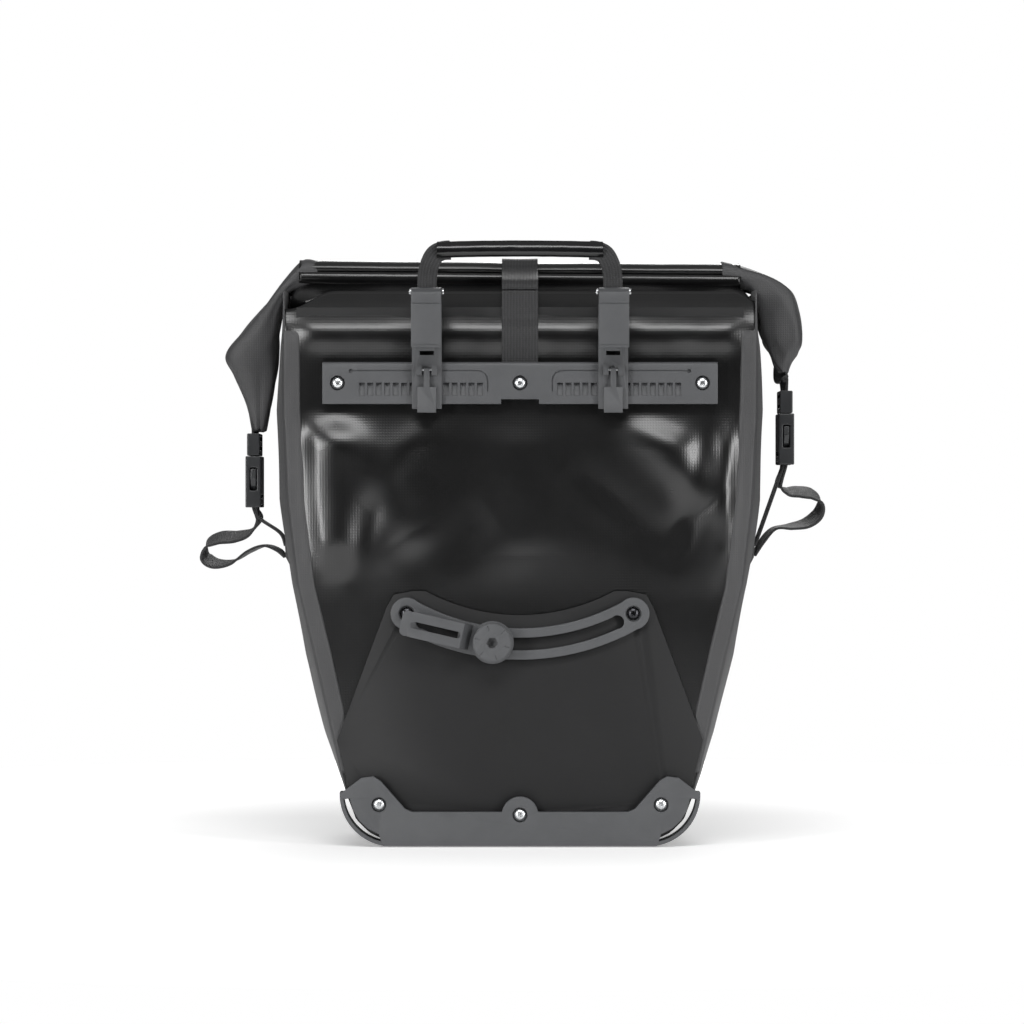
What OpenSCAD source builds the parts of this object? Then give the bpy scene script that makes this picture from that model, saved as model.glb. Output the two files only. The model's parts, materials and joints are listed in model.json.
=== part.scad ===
// Roll-top pannier bag with rack hooks, a rack stabiliser and side-release buckles.
// Millimetres. +Z is up, the side that hangs on the rack faces -Y, and the origin is the
// middle of the footprint, on the floor.

/* [Bag] */
// Width across the shoulders
body_w = 328; // [280:1:394]
// Height of the shoulders above the floor
shoulder_z = 383; // [370:1:460]
// Depth of the footprint
foot_d = 140; // [118:1:168]
// Greatest depth, at mid height
body_d = 166; // [150:1:200]
// Width of the flat part of the floor
floor_w = 160; // [134:1:190]
// Radius of the two bottom corners
corner_r = 30; // [25:1:36]
// Thickness of the coated fabric with its seam
fabric_t = 1.6; // [1.2:0.1:2]
// Thickness of the boards that stiffen the back and the floor
board_t = 2; // [1.5:0.1:3]

/* [Roll closure] */
// Depth of the rolled closure, front to back
roll_d = 48; // [40:1:58]
// Height of the rolled closure
roll_h = 20; // [17:1:24]
// How far the roll stands behind the rack-side face
roll_setback = 38; // [31:1:46]
// Width of the batten inside the roll
batten_w = 26; // [20:1:31]

/* [Hook rail] */
// Length of the rail
rail_w = 272; // [240:1:300]
// Height of the rail
rail_h = 29; // [26:1:34]
// Thickness of the rail
rail_t = 8; // [7.5:0.1:9.6]
// Distance between one screw and the next
rail_pitch = 125.5; // [112:0.5:128]
// Number of locking slots on each side
slot_count = 15; // [9:1:16]
// Distance between one locking slot and the next
slot_pitch = 5.8; // [5:0.1:6]

/* [Hooks] */
// Diameter of the rack tube that the hooks seat on
tube_d = 16; // [13.5:0.1:19]
// Width of a hook
hook_w = 20.4; // [18:0.1:24.4]
// Distance from the bag's middle to each hook
hook_x = 64; // [58:0.5:68]
// Wall thickness of a hook
hook_t = 5; // [4.2:0.1:6]
// Length of the finger below the middle of the tube
finger_l = 28; // [24:1:32]
// Diameter of the lever's pin
pin_d = 2.5; // [2.1:0.1:3]

/* [Handle] */
// Length of the handle's grip
grip_l = 114; // [90:1:116]
// Diameter of the handle's grip
grip_d = 9.6; // [8:0.1:11]
// Width of the handle webbing
handle_web_w = 14; // [12:0.5:16]

/* [Webbing and buckles] */
// Width of the strap webbing
strap_w = 25; // [21:0.5:30]
// Thickness of the webbing
strap_t = 1.6; // [1.2:0.1:2]
// From the shoulders down to the left buckle's mouth
left_mouth_drop = 114; // [100:1:118]
// From the shoulders down to the right buckle's mouth
right_mouth_drop = 84; // [78:1:98]
// From the shoulders down to the front buckle's mouth
front_mouth_drop = 83; // [73:1:103]
// From the shoulders down to the strap anchors on the gussets
anchor_drop = 180; // [176:1:200]

/* [Stabiliser] */
// Height of the arc rail's middle at its lowest point
arc_z = 139; // [130:1:160]
// Radius of the arc rail's curve
arc_r = 156; // [130:1:188]
// Half the distance between the arc rail's screws
arc_half = 78; // [65:1:88]
// Width of the arc rail
arc_w = 21.6; // [20:0.1:24]
// Diameter of the clamp knob
knob_d = 26.6; // [22.2:0.1:32]
// Gap behind the stabiliser tongue, for the rack strut
strut_gap = 11.4; // [9.5:0.1:13.7]
// Length of the stabiliser tongue from the middle of the knob
tongue_l = 64; // [53:1:76]
// Where the clamp stands on the arc, from the middle
clamp_deg = 7; // [-15:0.1:15]

/* [Hidden] */
$fn = 48;

gap = 0.3;                 // clearance between pieces that move past each other
rear_y = -foot_d / 2;      // outer face of the rack-side panel
rail_y = rear_y - rail_t;  // front face of the hook rail
plate_t = 1.6;
corner_x = floor_w / 2 + 8;
corner_z = corner_r + 6;

// Half width of the body against height, above the corners
waist_z = shoulder_z * 0.78;
knee_z = shoulder_z * 0.52;
shin_z = shoulder_z * 0.2;
widths = [[corner_z, corner_x + corner_r], [shin_z, corner_x + corner_r + 14],
    [knee_z, body_w / 2 - 3.5], [waist_z, body_w / 2 + 2], [shoulder_z, body_w / 2]];
function half_at(z) = lookup(z, widths);

// Outline of the body seen from the rack side, drawn in by inset
function corner_arc(inset) = [for (a = [-80:16:0])
    [corner_x + (corner_r - inset) * cos(a), corner_z + (corner_r - inset) * sin(a)]];
function half_outline(inset) = concat([[floor_w / 2 - inset, inset]], corner_arc(inset),
    [for (p = widths) if (p[0] > corner_z) [p[1] - inset, p[0]]]);
function mirrored(points) = [for (i = [len(points) - 1:-1:0]) [-points[i][0], points[i][1]]];
function outline(inset) = concat(half_outline(inset), mirrored(half_outline(inset)));

// Depth of the body against height, as points of the front wall seen from the side
function front_wall(inset) = [[rear_y + foot_d - 12, inset], [rear_y + foot_d - inset, 14],
    [rear_y + (foot_d + body_d) / 2 - inset, shoulder_z * 0.22],
    [rear_y + body_d - inset, shoulder_z * 0.5],
    [rear_y + body_d - inset, shoulder_z * 0.72],
    [front_top_y - inset, shoulder_z]];
front_top_y = rear_y + body_d - 12;
function front_y(z) = lookup(z, [for (p = front_wall(0)) [p[1], p[0]]]);

module along_y(y0, y1) translate([0, y1, 0]) rotate([90, 0, 0]) linear_extrude(y1 - y0) children();
module along_x(x0, x1) translate([x0, 0, 0]) rotate([90, 0, 90]) linear_extrude(x1 - x0) children();
module round_y(x, z, r, y0, y1) translate([x, y1, z]) rotate([90, 0, 0]) cylinder(r = r, h = y1 - y0);
module round_x(y, z, r, x0, x1) translate([x0, y, z]) rotate([0, 90, 0]) cylinder(r = r, h = x1 - x0);

// A pill: two circles of radius r, joined
module pill(p, q, r) {
    d = q - p;
    translate(p) rotate(atan2(d[1], d[0])) translate([0, -r]) square([norm(d), 2 * r]);
    translate(p) circle(r);
    translate(q) circle(r);
}

// Outline of a ribbon of thickness t that follows points in a plane
function unit(v) = v / norm(v);
function heading(p, i) = unit(p[min(i + 1, len(p) - 1)] - p[max(i - 1, 0)]);
function beside(p, t) = [for (i = [0:len(p) - 1]) p[i] + [-heading(p, i)[1], heading(p, i)[0]] * t];
function backwards(p) = [for (i = [len(p) - 1:-1:0]) p[i]];
module ribbon(p, t) polygon(concat(beside(p, t / 2), backwards(beside(p, -t / 2))));

// ---- Bag shell ----

rail_z = shoulder_z - 64.5;
rail_bolts = [for (i = [-1:1]) [i * rail_pitch, rail_z]];
pivot_z = arc_z + arc_r;
arc_end_deg = asin(arc_half / arc_r);
function on_arc(a, r) = [-r * sin(a), pivot_z - r * cos(a)];
arc_bolts = [for (s = [-1, 1]) on_arc(s * arc_end_deg, arc_r)];
guard_screw_x = corner_x + 9;
guard_bolts = [[-guard_screw_x, 28.6], [0, 21.6], [guard_screw_x, 28.6]];
bolt_r = 2.4;
module bolt_holes(points, y0, y1) for (p = points) round_y(p[0], p[1], bolt_r + gap, y0, y1);
module all_bolt_holes() bolt_holes(concat(rail_bolts, arc_bolts, guard_bolts), rear_y - 1, rear_y + 20);

module shell_ring(y0, y1) difference() {
    along_y(y0, y1) polygon(outline(0));
    along_y(y0 - 1, y1 + 1) polygon(concat(half_outline(fabric_t), [[0, shoulder_z + 1]],
        mirrored(half_outline(fabric_t))));
}
module side_profile(inset) along_x(-body_w, body_w)
    polygon(concat([[rear_y + fabric_t, inset]], front_wall(inset), [[rear_y + fabric_t, shoulder_z]]));

module back_panel() color("#1b1b1c") difference() {
    along_y(rear_y, rear_y + fabric_t) polygon(outline(0));
    all_bolt_holes();
}
module front_panel() color("#1b1b1c") intersection() {
    along_y(rear_y + fabric_t, rear_y + body_d + 1) polygon(outline(0));
    along_x(-body_w, body_w)
        polygon(concat(front_wall(0), [for (p = backwards(front_wall(fabric_t))) p]));
}
module gusset(side) color("#2c2c2d") intersection() {
    shell_ring(rear_y + fabric_t, rear_y + body_d);
    side_profile(fabric_t);
    translate([side > 0 ? floor_w / 2 : -body_w, rear_y, 0]) cube([body_w - floor_w / 2, body_d, shoulder_z]);
}
module floor_panel() color("#2c2c2d") intersection() {
    side_profile(0);
    translate([-floor_w / 2, rear_y + fabric_t, 0]) cube([floor_w, foot_d - fabric_t - 12.5, fabric_t]);
}
module back_board() color("#3a3a3c") {
    y0 = rear_y + fabric_t;
    difference() {
        along_y(y0, y0 + board_t) intersection() {
            polygon(outline(10));
            translate([-body_w, 14]) square([2 * body_w, shoulder_z - 26]);
        }
        all_bolt_holes();
    }
}
module floor_board() color("#3a3a3c")
    translate([-floor_w / 2 + 4, rear_y + fabric_t + board_t + 2, fabric_t])
        cube([floor_w - 8, foot_d - 34, board_t]);

// A welded tape down each side of the rack-side panel
seam_w = 16;
seam_t = 0.9;
module seam_strip(side) color("#4a4a4b") {
    top = [for (p = widths) if (p[0] >= shin_z) [side * (p[1] - 2), p[0] - (p[0] == shoulder_z ? 6 : 0)]];
    along_y(rear_y - seam_t, rear_y)
        polygon(concat(top, [for (p = backwards(top)) [p[0] - side * seam_w, p[1]]]));
}

// ---- Roll closure ----

lift = 0.3;
roll_y = rear_y + roll_setback;
roll_z = shoulder_z + lift + 2.4;
ear_x = body_w / 2 - 14;
throat_t = 2;
module folded_throat() color("#1b1b1c")
    translate([-body_w / 2 + 4, rear_y + 2, shoulder_z + lift])
        cube([body_w - 8, front_top_y - rear_y - 5, throat_t]);
module roll_section() pill([roll_y + roll_h / 2, roll_z + roll_h / 2],
    [roll_y + roll_d - roll_h / 2, roll_z + roll_h / 2], roll_h / 2);
batten_t = 2;
module batten_section(grow) translate([roll_y + (roll_d - batten_w) / 2 - grow,
    roll_z + (roll_h - batten_t) / 2 - grow]) square([batten_w + 2 * grow, batten_t + 2 * grow]);
module top_roll() color("#202021") along_x(-ear_x, ear_x) difference() {
    roll_section();
    batten_section(0.1);
}
module roll_batten() color("#6a6a6c") along_x(-ear_x + 6, ear_x - 6) batten_section(0);

// The ends of the roll fold down over the shoulders; points are from the shoulder's corner
left_fold = [[-14, roll_h + 2.7], [-8, roll_h + 2], [4, 12], [45, -44], [26, -83], [17, -83], [9, -44], [3, -10],
    [1, 2.7], [-14, 2.7]];
right_fold = [[-14, roll_h + 2.7], [-6, roll_h + 1], [14, 13], [29, 1], [34, -15], [36, -40], [27, -51], [16, -56],
    [7, -30], [2, -9], [1, 2.7], [-14, 2.7]];
module ear(points, side) color("#3c3c3d") along_y(roll_y + 1, roll_y + roll_d - 1)
    polygon([for (p = points) [side * (body_w / 2 + p[0]), shoulder_z + p[1]]]);

// ---- Hook rail ----

flange_t = 3;
lip = 3;
slot_start = 27.5;
slot_w = 3.7;
slot_h = 8.6;
strap_room = strap_w / 2 + 0.5;
module hook_rail() color("#3f4042") difference() {
    union() {
        translate([-rail_w / 2, rail_y, rail_z - rail_h / 2]) cube([rail_w, flange_t, rail_h]);
        translate([-rail_w / 2, rail_y, rail_z - rail_h / 2 + lip + gap])
            cube([rail_w, rail_t, rail_h - 2 * (lip + gap)]);
    }
    for (p = rail_bolts) {
        round_y(p[0], p[1], bolt_r + gap, rail_y - 1, rear_y + 1);
        round_y(p[0], p[1], 5.2, rail_y - 1, rail_y + 3.4);
    }
    for (s = [-1, 1], i = [0:slot_count - 1])
        translate([s * (slot_start + i * slot_pitch) - slot_w / 2, rail_y - 1, rail_z - slot_h])
            cube([slot_w, 3.6, slot_h]);
    // Room for the centre strap behind the rail, and the notch below it
    translate([-strap_room, rear_y - strap_t - 0.5, rail_z + bolt_r + 3])
        cube([2 * strap_room, strap_t + 1, rail_h]);
    translate([-strap_room, rail_y - 1, rail_z - rail_h / 2 - 1]) cube([2 * strap_room, rail_t + 2, 4.4]);
}

// A pan-head screw along +Y with its head's top at y0, and its shank to y1
module screw(x, z, y0, y1, head_r, head_t) difference() {
    union() {
        round_y(x, z, head_r, y0, y0 + head_t);
        round_y(x, z, bolt_r, y0 + head_t / 2, y1);
    }
    for (w = [[3.6, 1], [1, 3.6]]) translate([x - w[0] / 2, y0 - 1, z - w[1] / 2]) cube([w[0], 2.2, w[1]]);
}
nut_y = rear_y + fabric_t + board_t;
module rail_screws() color("#c9cbcd") for (p = rail_bolts) screw(p[0], p[1], rail_y + 0.6, nut_y + 3, 4.4, 2.7);
module nut_ring(p) difference() {
    round_y(p[0], p[1], 4.8, nut_y, nut_y + 3);
    round_y(p[0], p[1], bolt_r + 0.05, nut_y - 1, nut_y + 4);
}
module rail_nuts() color("#9a9c9e") for (p = concat(rail_bolts, arc_bolts, guard_bolts)) nut_ring(p);

// ---- Rack hooks. Drawn at x = 0 with y = 0 on the rail's front face and z = 0 at the tube's middle ----

tube_r = tube_d / 2;
seat_r = tube_r + 0.2;
tube_y = -(tube_r + 6);
crown_r = seat_r + hook_t;
tube_z = shoulder_z - 13;
drop = tube_z - rail_z;           // from the tube down to the rail's middle
back_t = 3;
window_w = 13;
pin_r = pin_d / 2;
// The lever's pin lies inside the crown, behind its top
mid_r = (seat_r + crown_r) / 2 + 0.5;
pin_at = [tube_y + mid_r * cos(69), mid_r * sin(69)];
bar_r = 2;
web_half = 0.9;                   // half the thickness of the handle webbing
// The handle webbing's bar stands just clear of the crown, with the webbing doubled round it
bar_out = crown_r + bar_r + 0.2 + 2 * web_half + 0.28;
bar_at = [tube_y + bar_out * cos(30.8), bar_out * sin(30.8)];
tab_pin = [-5.2, -drop + 9];
module hook_place(side) translate([side * hook_x, rail_y, tube_z]) children();

module hook_side() {
    intersection() {
        translate([tube_y, 0]) difference() {
            circle(crown_r);
            circle(seat_r);
        }
        translate([tube_y - crown_r, 0]) square([2 * crown_r, crown_r]);
    }
    translate([tube_y - crown_r, -finger_l + 2]) square([hook_t, finger_l - 2]);
    translate([tube_y - crown_r + 1, -finger_l]) square([hook_t - 1.6, 2.1]);
    translate([tube_y - crown_r - 0.8, 2]) square([4, 7.5]);
    translate([tube_y + seat_r, -2]) square([crown_r - seat_r, 2.1]);
    translate([-back_t - gap, -drop - rail_h / 2 - lip - gap]) square([back_t, drop + rail_h / 2 + lip + gap + 0.1]);
}
module rail_clamp(s) {
    z0 = -drop + s * (rail_h / 2 + gap);
    translate([-hook_w / 2 + 0.8, -back_t, min(z0, z0 + s * lip)]) cube([hook_w - 1.6, back_t + flange_t + 1.5 + 2 * gap, lip]);
    translate([-hook_w / 2 + 0.8, flange_t + gap, min(z0, z0 - s * lip)]) cube([hook_w - 1.6, 1.5, lip]);
}
module hook() color("#3f4042") difference() {
    union() {
        along_x(-hook_w / 2, hook_w / 2) hook_side();
        for (s = [-1, 1]) {
            rail_clamp(s);
            // Ears for the lock tab's pin
            translate([s * 5.15 - 1.85, -7.2, -drop + 5]) cube([3.7, 7.2 - back_t, 7]);
        }
    }
    // Window that the lever's catch swings through
    translate([-window_w / 2, tube_y + 1.1, -17]) cube([window_w, -tube_y + 1, 17 + crown_r + 2]);
    // Spring slot below the finger
    translate([-4.9, -back_t - 1, -finger_l - 4.5]) cube([9.8, back_t + 2, 2.9]);
    round_x(pin_at[0], pin_at[1], pin_r + 0.05, -hook_w, hook_w);
    round_x(tab_pin[0], tab_pin[1], 0.85, -hook_w, hook_w);
}

spring_w = 4.6;
barrel_r = pin_r + 1.3;
lever_w = window_w - 2 * gap;
module lever_side() {
    translate(pin_at) circle(barrel_r);
    // Neck back to the webbing bar
    pill(pin_at, pin_at + [4.6, 1.6], 1.4);
    // Catch arm behind the tube, and its toe below it
    polygon([pin_at + [-1, 1], pin_at + [2.4, 0.6], [tube_y + crown_r - 1.6, 2], [tube_y + crown_r - 1.2, -9.5],
        [tube_y + crown_r - 3, -seat_r - 4.5], [tube_y + 1, -seat_r - 3.2], [tube_y - 1, -seat_r - 0.6],
        [tube_y + 5, -seat_r - 0.4], [tube_y + seat_r + 0.6, -5], [tube_y + seat_r + 0.7, 2.6],
        [tube_y + (seat_r + 0.7) * cos(45), (seat_r + 0.7) * sin(45)]]);
}
bar_half = hook_w / 2 - 0.2;
module lever() color("#2f3032") {
    difference() {
        along_x(-lever_w / 2, lever_w / 2) lever_side();
        round_x(pin_at[0], pin_at[1], pin_r + 0.05, -hook_w, hook_w);
        round_x(pin_at[0], pin_at[1], barrel_r + 0.3, -spring_w / 2 - 0.2, spring_w / 2 + 0.2);
    }
    // Cross piece, cheeks and bar for the handle webbing
    cross = pin_at + [5.2, 1.7];
    difference() {
        for (s = [-1, 1]) {
            along_x(min(s * 3, s * bar_half), max(s * 3, s * bar_half)) translate(cross - [1, 1.4]) square([1.6, 2.8]);
            along_x(min(s * (bar_half - 1.6), s * bar_half), max(s * (bar_half - 1.6), s * bar_half))
                pill(cross, bar_at, 1.3);
        }
        translate([tube_y, 0, 0]) round_x(0, 0, crown_r + gap, -hook_w, hook_w);
    }
    round_x(bar_at[0], bar_at[1], bar_r, -bar_half, bar_half);
}
module lever_pin() color("#8f9193") {
    round_x(pin_at[0], pin_at[1], pin_r, -hook_w / 2 - 0.6, hook_w / 2 + 0.6);
    for (s = [-1, 1]) round_x(pin_at[0], pin_at[1], pin_r + 0.8, s * (hook_w / 2 + 0.9) - 0.8, s * (hook_w / 2 + 0.9) + 0.8);
}
module lever_spring() color("#a8aaac") difference() {
    round_x(pin_at[0], pin_at[1], barrel_r - 0.1, -spring_w / 2, spring_w / 2);
    round_x(pin_at[0], pin_at[1], pin_r + 0.05, -hook_w, hook_w);
}
tab_w = 12.8;
module lock_tab() color("#37383a") difference() {
    union() {
        translate([-1.95, tab_pin[0] - 1.4, -drop - 3.5]) cube([3.9, 2.6, 12.5]);
        round_x(tab_pin[0], tab_pin[1], 1.5, -1.95, 1.95);
        translate([-tab_w / 2, -back_t - gap - 3, -drop - 20.5]) cube([tab_w, 2.8, 17.5]);
        translate([-tab_w / 2, -back_t - gap - 3.9, -drop - 20.5]) cube([tab_w, 1, 3]);
    }
    round_x(tab_pin[0], tab_pin[1], 0.85, -5, 5);
}
module tab_pin() color("#8f9193") round_x(tab_pin[0], tab_pin[1], 0.8, -7, 7);

// ---- Handle ----

lean = 2;                                        // degrees that the handle leans back
leg_l = 31;
module handle_place() translate([0, rail_y + bar_at[0], tube_z + bar_at[1]]) rotate([-lean, 0, 0]) children();
bend_x = grip_l / 2 + 1;
module handle_flat() for (s = [-1, 1]) {
    polygon([for (p = [[hook_x - handle_web_w / 2, 3], [hook_x + handle_web_w / 2, 3],
        [hook_x + handle_web_w / 2, 15], [hook_x + handle_web_w / 2 - 3, 24], [bend_x + 3, 33.5],
        [bend_x - 6, leg_l + 3.2], [bend_x - 6, leg_l - 3.2], [bend_x + 1, leg_l - 4],
        [hook_x - handle_web_w / 2, 17]]) [s * p[0], p[1]]]);
}
module handle_webbing() color("#262627") handle_place() {
    difference() {
        union() {
            along_y(-web_half, web_half) {
                handle_flat();
                translate([-bend_x, leg_l - 3.2]) square([2 * bend_x, 6.4]);
            }
            for (s = [-1, 1])
                round_x(0, 0, bar_r + 0.2 + 2 * web_half, s * hook_x - handle_web_w / 2, s * hook_x + handle_web_w / 2);
        }
        round_x(0, 0, bar_r + 0.2, -body_w, body_w);
    }
}
module handle_grip() color("#161617") handle_place() difference() {
    translate([0, 0, leg_l]) round_x(0, 0, grip_d / 2, -grip_l / 2, grip_l / 2);
    translate([-grip_l, -web_half, leg_l - 3.2]) cube([2 * grip_l, 2 * web_half, 6.4]);
    along_y(-web_half, web_half) handle_flat();
}

// ---- Buckles. Drawn upright with the mouth at z = 0, the width along X and the thickness along Y ----

plug_h = 16;
socket_h = 36;
socket_w = strap_w + 9;
socket_t = 11;
wall = 2;
mouth_half = socket_w / 2 - 3.3;
prong_x = mouth_half - 4;
root_z = 2.6;                     // height of the prongs' roots above the mouth
module strap_slots(z, half_t) for (s = [-1, 1]) translate([-strap_w / 2 - 0.5, -half_t - 5, z + s * 3.4 - 1.4])
    cube([strap_w + 1, 2 * half_t + 10, 2.8]);
module plug() color("#242526") difference() {
    union() {
        translate([-socket_w / 2 + 1, -socket_t / 2 + 1, gap]) cube([socket_w - 2, socket_t - 2, plug_h - gap]);
        translate([-2, -1.6, -13]) cube([4, 3.2, 14]);
    }
    strap_slots(plug_h - 7, socket_t / 2);
    for (s = [-1, 1]) translate([s * prong_x - 2.4, -2.5, gap - 1]) cube([4.8, 5, 5.4]);
}
module prong(side) color("#2b2c2d") along_y(-2, 2) {
    translate([side * prong_x, root_z]) circle(1.8);
    polygon([for (p = [[prong_x - 1.6, root_z], [prong_x - 1.2, -12],
    [prong_x - 2.2, -25], [prong_x, -27], [mouth_half + 1.4, -21], [socket_w / 2 + 0.4, -15],
    [socket_w / 2 - 0.6, -9], [mouth_half - 0.6, -8.4], [prong_x + 1.4, -4], [prong_x + 1.6, root_z]]) [side * p[0], p[1]]]);
}
module socket() color("#242526") difference() {
    translate([-socket_w / 2, -socket_t / 2, -socket_h]) cube([socket_w, socket_t, socket_h]);
    translate([-mouth_half, -socket_t / 2 + wall, -27.5]) cube([2 * mouth_half, socket_t - 2 * wall, 28]);
    for (s = [-1, 1]) translate([s * socket_w / 2 - 8, -2.4, -24]) cube([16, 4.8, 16]);
    strap_slots(-socket_h + 7.4 - 3.2, socket_t / 2);
}
left_mouth_z = shoulder_z - left_mouth_drop;
right_mouth_z = shoulder_z - right_mouth_drop;
front_mouth_z = shoulder_z - front_mouth_drop;
buckle_x = body_w / 2 + 23;
buckle_y = roll_y + roll_d / 2;
front_buckle_y = rear_y + body_d + socket_t / 2 + 1.2;
module left_place() translate([-buckle_x, buckle_y, left_mouth_z]) rotate([0, 0, 90]) children();
module right_place() translate([buckle_x, buckle_y, right_mouth_z]) rotate([0, 0, 90]) children();
module front_place() translate([0, front_buckle_y, front_mouth_z]) children();

// ---- Straps ----

module across(y0, points) color("#262627") along_y(y0 - strap_w / 2, y0 + strap_w / 2) ribbon(points, strap_t);
module middle(points) color("#262627") along_x(-strap_w / 2, strap_w / 2) ribbon(points, strap_t);

// From the rail's centre up the rack side, then over the roll and down to the front plug
module centre_strap_lower() middle([[rear_y - strap_t / 2 - 0.1, rail_z + bolt_r + 4], [rear_y - strap_t / 2 - 0.1, shoulder_z - 0.5]]);
wrap_r = roll_h / 2 + strap_t / 2 + 0.7;
function wrap(y, from, to) = [for (i = [0:3]) let (a = from + (to - from) * i / 3)
    [y + wrap_r * cos(a), roll_z + roll_h / 2 + wrap_r * sin(a)]];
module centre_strap_upper() middle(concat([[rear_y + 0.4, shoulder_z + lift],
    [rear_y + 0.6, shoulder_z + lift + throat_t + 1.2], [rear_y + 4, shoulder_z + lift + throat_t + 4.2]],
    wrap(roll_y + roll_h / 2, 162, 90), wrap(roll_y + roll_d - roll_h / 2, 90, 12),
    [[front_top_y - 8, shoulder_z + lift + throat_t + 1.6], [front_top_y + 0.5, shoulder_z + lift + throat_t + 1.1],
    [front_top_y + 2.4, shoulder_z - 2], [front_y(shoulder_z * 0.86) + 3, shoulder_z * 0.86],
    [front_buckle_y, front_mouth_z + plug_h + 4], [front_buckle_y, front_mouth_z + plug_h + gap]]));
front_face_y = rear_y + body_d;
module front_strap_anchor() middle([[front_buckle_y, front_mouth_z - socket_h - gap],
    [front_buckle_y, front_mouth_z - socket_h - 5], [front_face_y + 1.2, front_mouth_z - socket_h - 22],
    [front_face_y + 1.2, front_mouth_z - socket_h - 48]]);

// Short straps from the ears down to the side plugs
module left_upper_strap() across(buckle_y, [[-buckle_x + 1.5, shoulder_z - 83 - gap], [-buckle_x, left_mouth_z + plug_h + gap]]);
module right_upper_strap() across(buckle_y, [[buckle_x - 1.5, shoulder_z - 56.5], [buckle_x, right_mouth_z + plug_h + gap]]);

// Adjuster straps: from the anchor up to the socket, and a pull loop that goes back to the anchor
anchor_z = shoulder_z - anchor_drop;
anchor_x = half_at(anchor_z) + 4.6;
module side_strap(side, mouth, loop) {
    foot = [side * (anchor_x + 0.6), anchor_z + 4];
    tail = [side * buckle_x, mouth - socket_h - gap];
    across(buckle_y, [foot, [side * (anchor_x + 5), anchor_z + 12], tail + [-side, -5], tail]);
    across(buckle_y, concat([tail + [side * 0.8, 0]], [for (p = loop) [side * (anchor_x + p[0]), anchor_z + p[1]]],
        [[side * (anchor_x + 1.6), anchor_z - 3]]));
}
left_loop = [[22, 24], [26, 17], [36, 12], [50, 9.5], [59, 4], [60, -4], [53, -9], [42, -8], [30, -1], [18, 2], [9, -1]];
right_loop = [[21, 50], [25, 44], [35, 42.5], [44, 41], [50, 35], [48, 26], [40, 20], [28, 18], [17, 17], [9, 6]];
module strap_anchor(side) color("#2c2c2d") difference() {
    // Where the wall bends behind the patch, the patch bends with it
    bends = [for (z = [waist_z, knee_z]) if (abs(z - anchor_z + 1.5) < 9) [1.1, z - anchor_z]];
    along_y(buckle_y - strap_w / 2 - 3, buckle_y + strap_w / 2 + 3) polygon([for (p =
        concat([[1.1, -11], [2, -12], [4, -5], [4, 3.6], [2.6, 8], [1.1, 8]], bends))
        [side * (half_at(anchor_z + p[1]) + p[0]), anchor_z + p[1]]]);
    translate([side * anchor_x, buckle_y, anchor_z]) cube([2, strap_w + 1, 0.4], center = true);
}

// ---- Stabiliser ----

plate_y = rear_y - seam_t - plate_t;
arc_t = 5;
arc_y = plate_y - arc_t;
slot_r = 4.6;
channel_r = 7.6;
slot_end_deg = arc_end_deg - 4.6;
module arc_band(r, a) {
    intersection() {
        translate([0, pivot_z]) difference() {
            circle(arc_r + r, $fn = 180);
            circle(arc_r - r, $fn = 180);
        }
        polygon([[0, pivot_z], on_arc(a, arc_r * 1.4), on_arc(a / 2, arc_r * 1.4), on_arc(-a / 2, arc_r * 1.4),
            on_arc(-a, arc_r * 1.4)]);
    }
    for (s = [-1, 1]) translate(on_arc(s * a, arc_r)) circle(r + 0.3);
}
module arc_rail() color("#424345") difference() {
    along_y(arc_y, plate_y) arc_band(arc_w / 2, arc_end_deg);
    along_y(arc_y - 1, plate_y + 1) arc_band(slot_r - 0.3, slot_end_deg);
    along_y(arc_y + 2.6, plate_y + 1) arc_band(channel_r - 0.3, slot_end_deg - 0.6);
    for (p = arc_bolts) {
        round_y(p[0], p[1], bolt_r + gap, arc_y - 1, plate_y + 1);
        round_y(p[0], p[1], 5.4, arc_y - 1, arc_y + 3.2);
    }
}
module arc_screws() color("#3a3a3c") for (p = arc_bolts) screw(p[0], p[1], arc_y + 0.5, nut_y + 3, 4.4, 2.5);

// The backing plate: its top follows the arc rail and its sides follow the panel's taper
plate_margin = 13;
plate_top = on_arc(-arc_end_deg, arc_r);
plate_half = [[floor_w / 2 + 8, 7], [corner_x + corner_r * 0.6, 14], [corner_x + corner_r - 1, corner_z],
    [half_at(shin_z) - 6, shin_z - 4], plate_top + [plate_margin + 1, 4], plate_top + [plate_margin - 4, 13],
    plate_top + [-4, plate_margin + 2.5]];
module backing_plate() color("#2b2b2c") difference() {
    along_y(plate_y, plate_y + plate_t) difference() {
        polygon(concat(plate_half, mirrored(plate_half)));
        translate([0, pivot_z]) circle(arc_r - arc_w / 2 - 9);
    }
    bolt_holes(concat(arc_bolts, guard_bolts), plate_y - 1, rear_y + 1);
}

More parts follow.
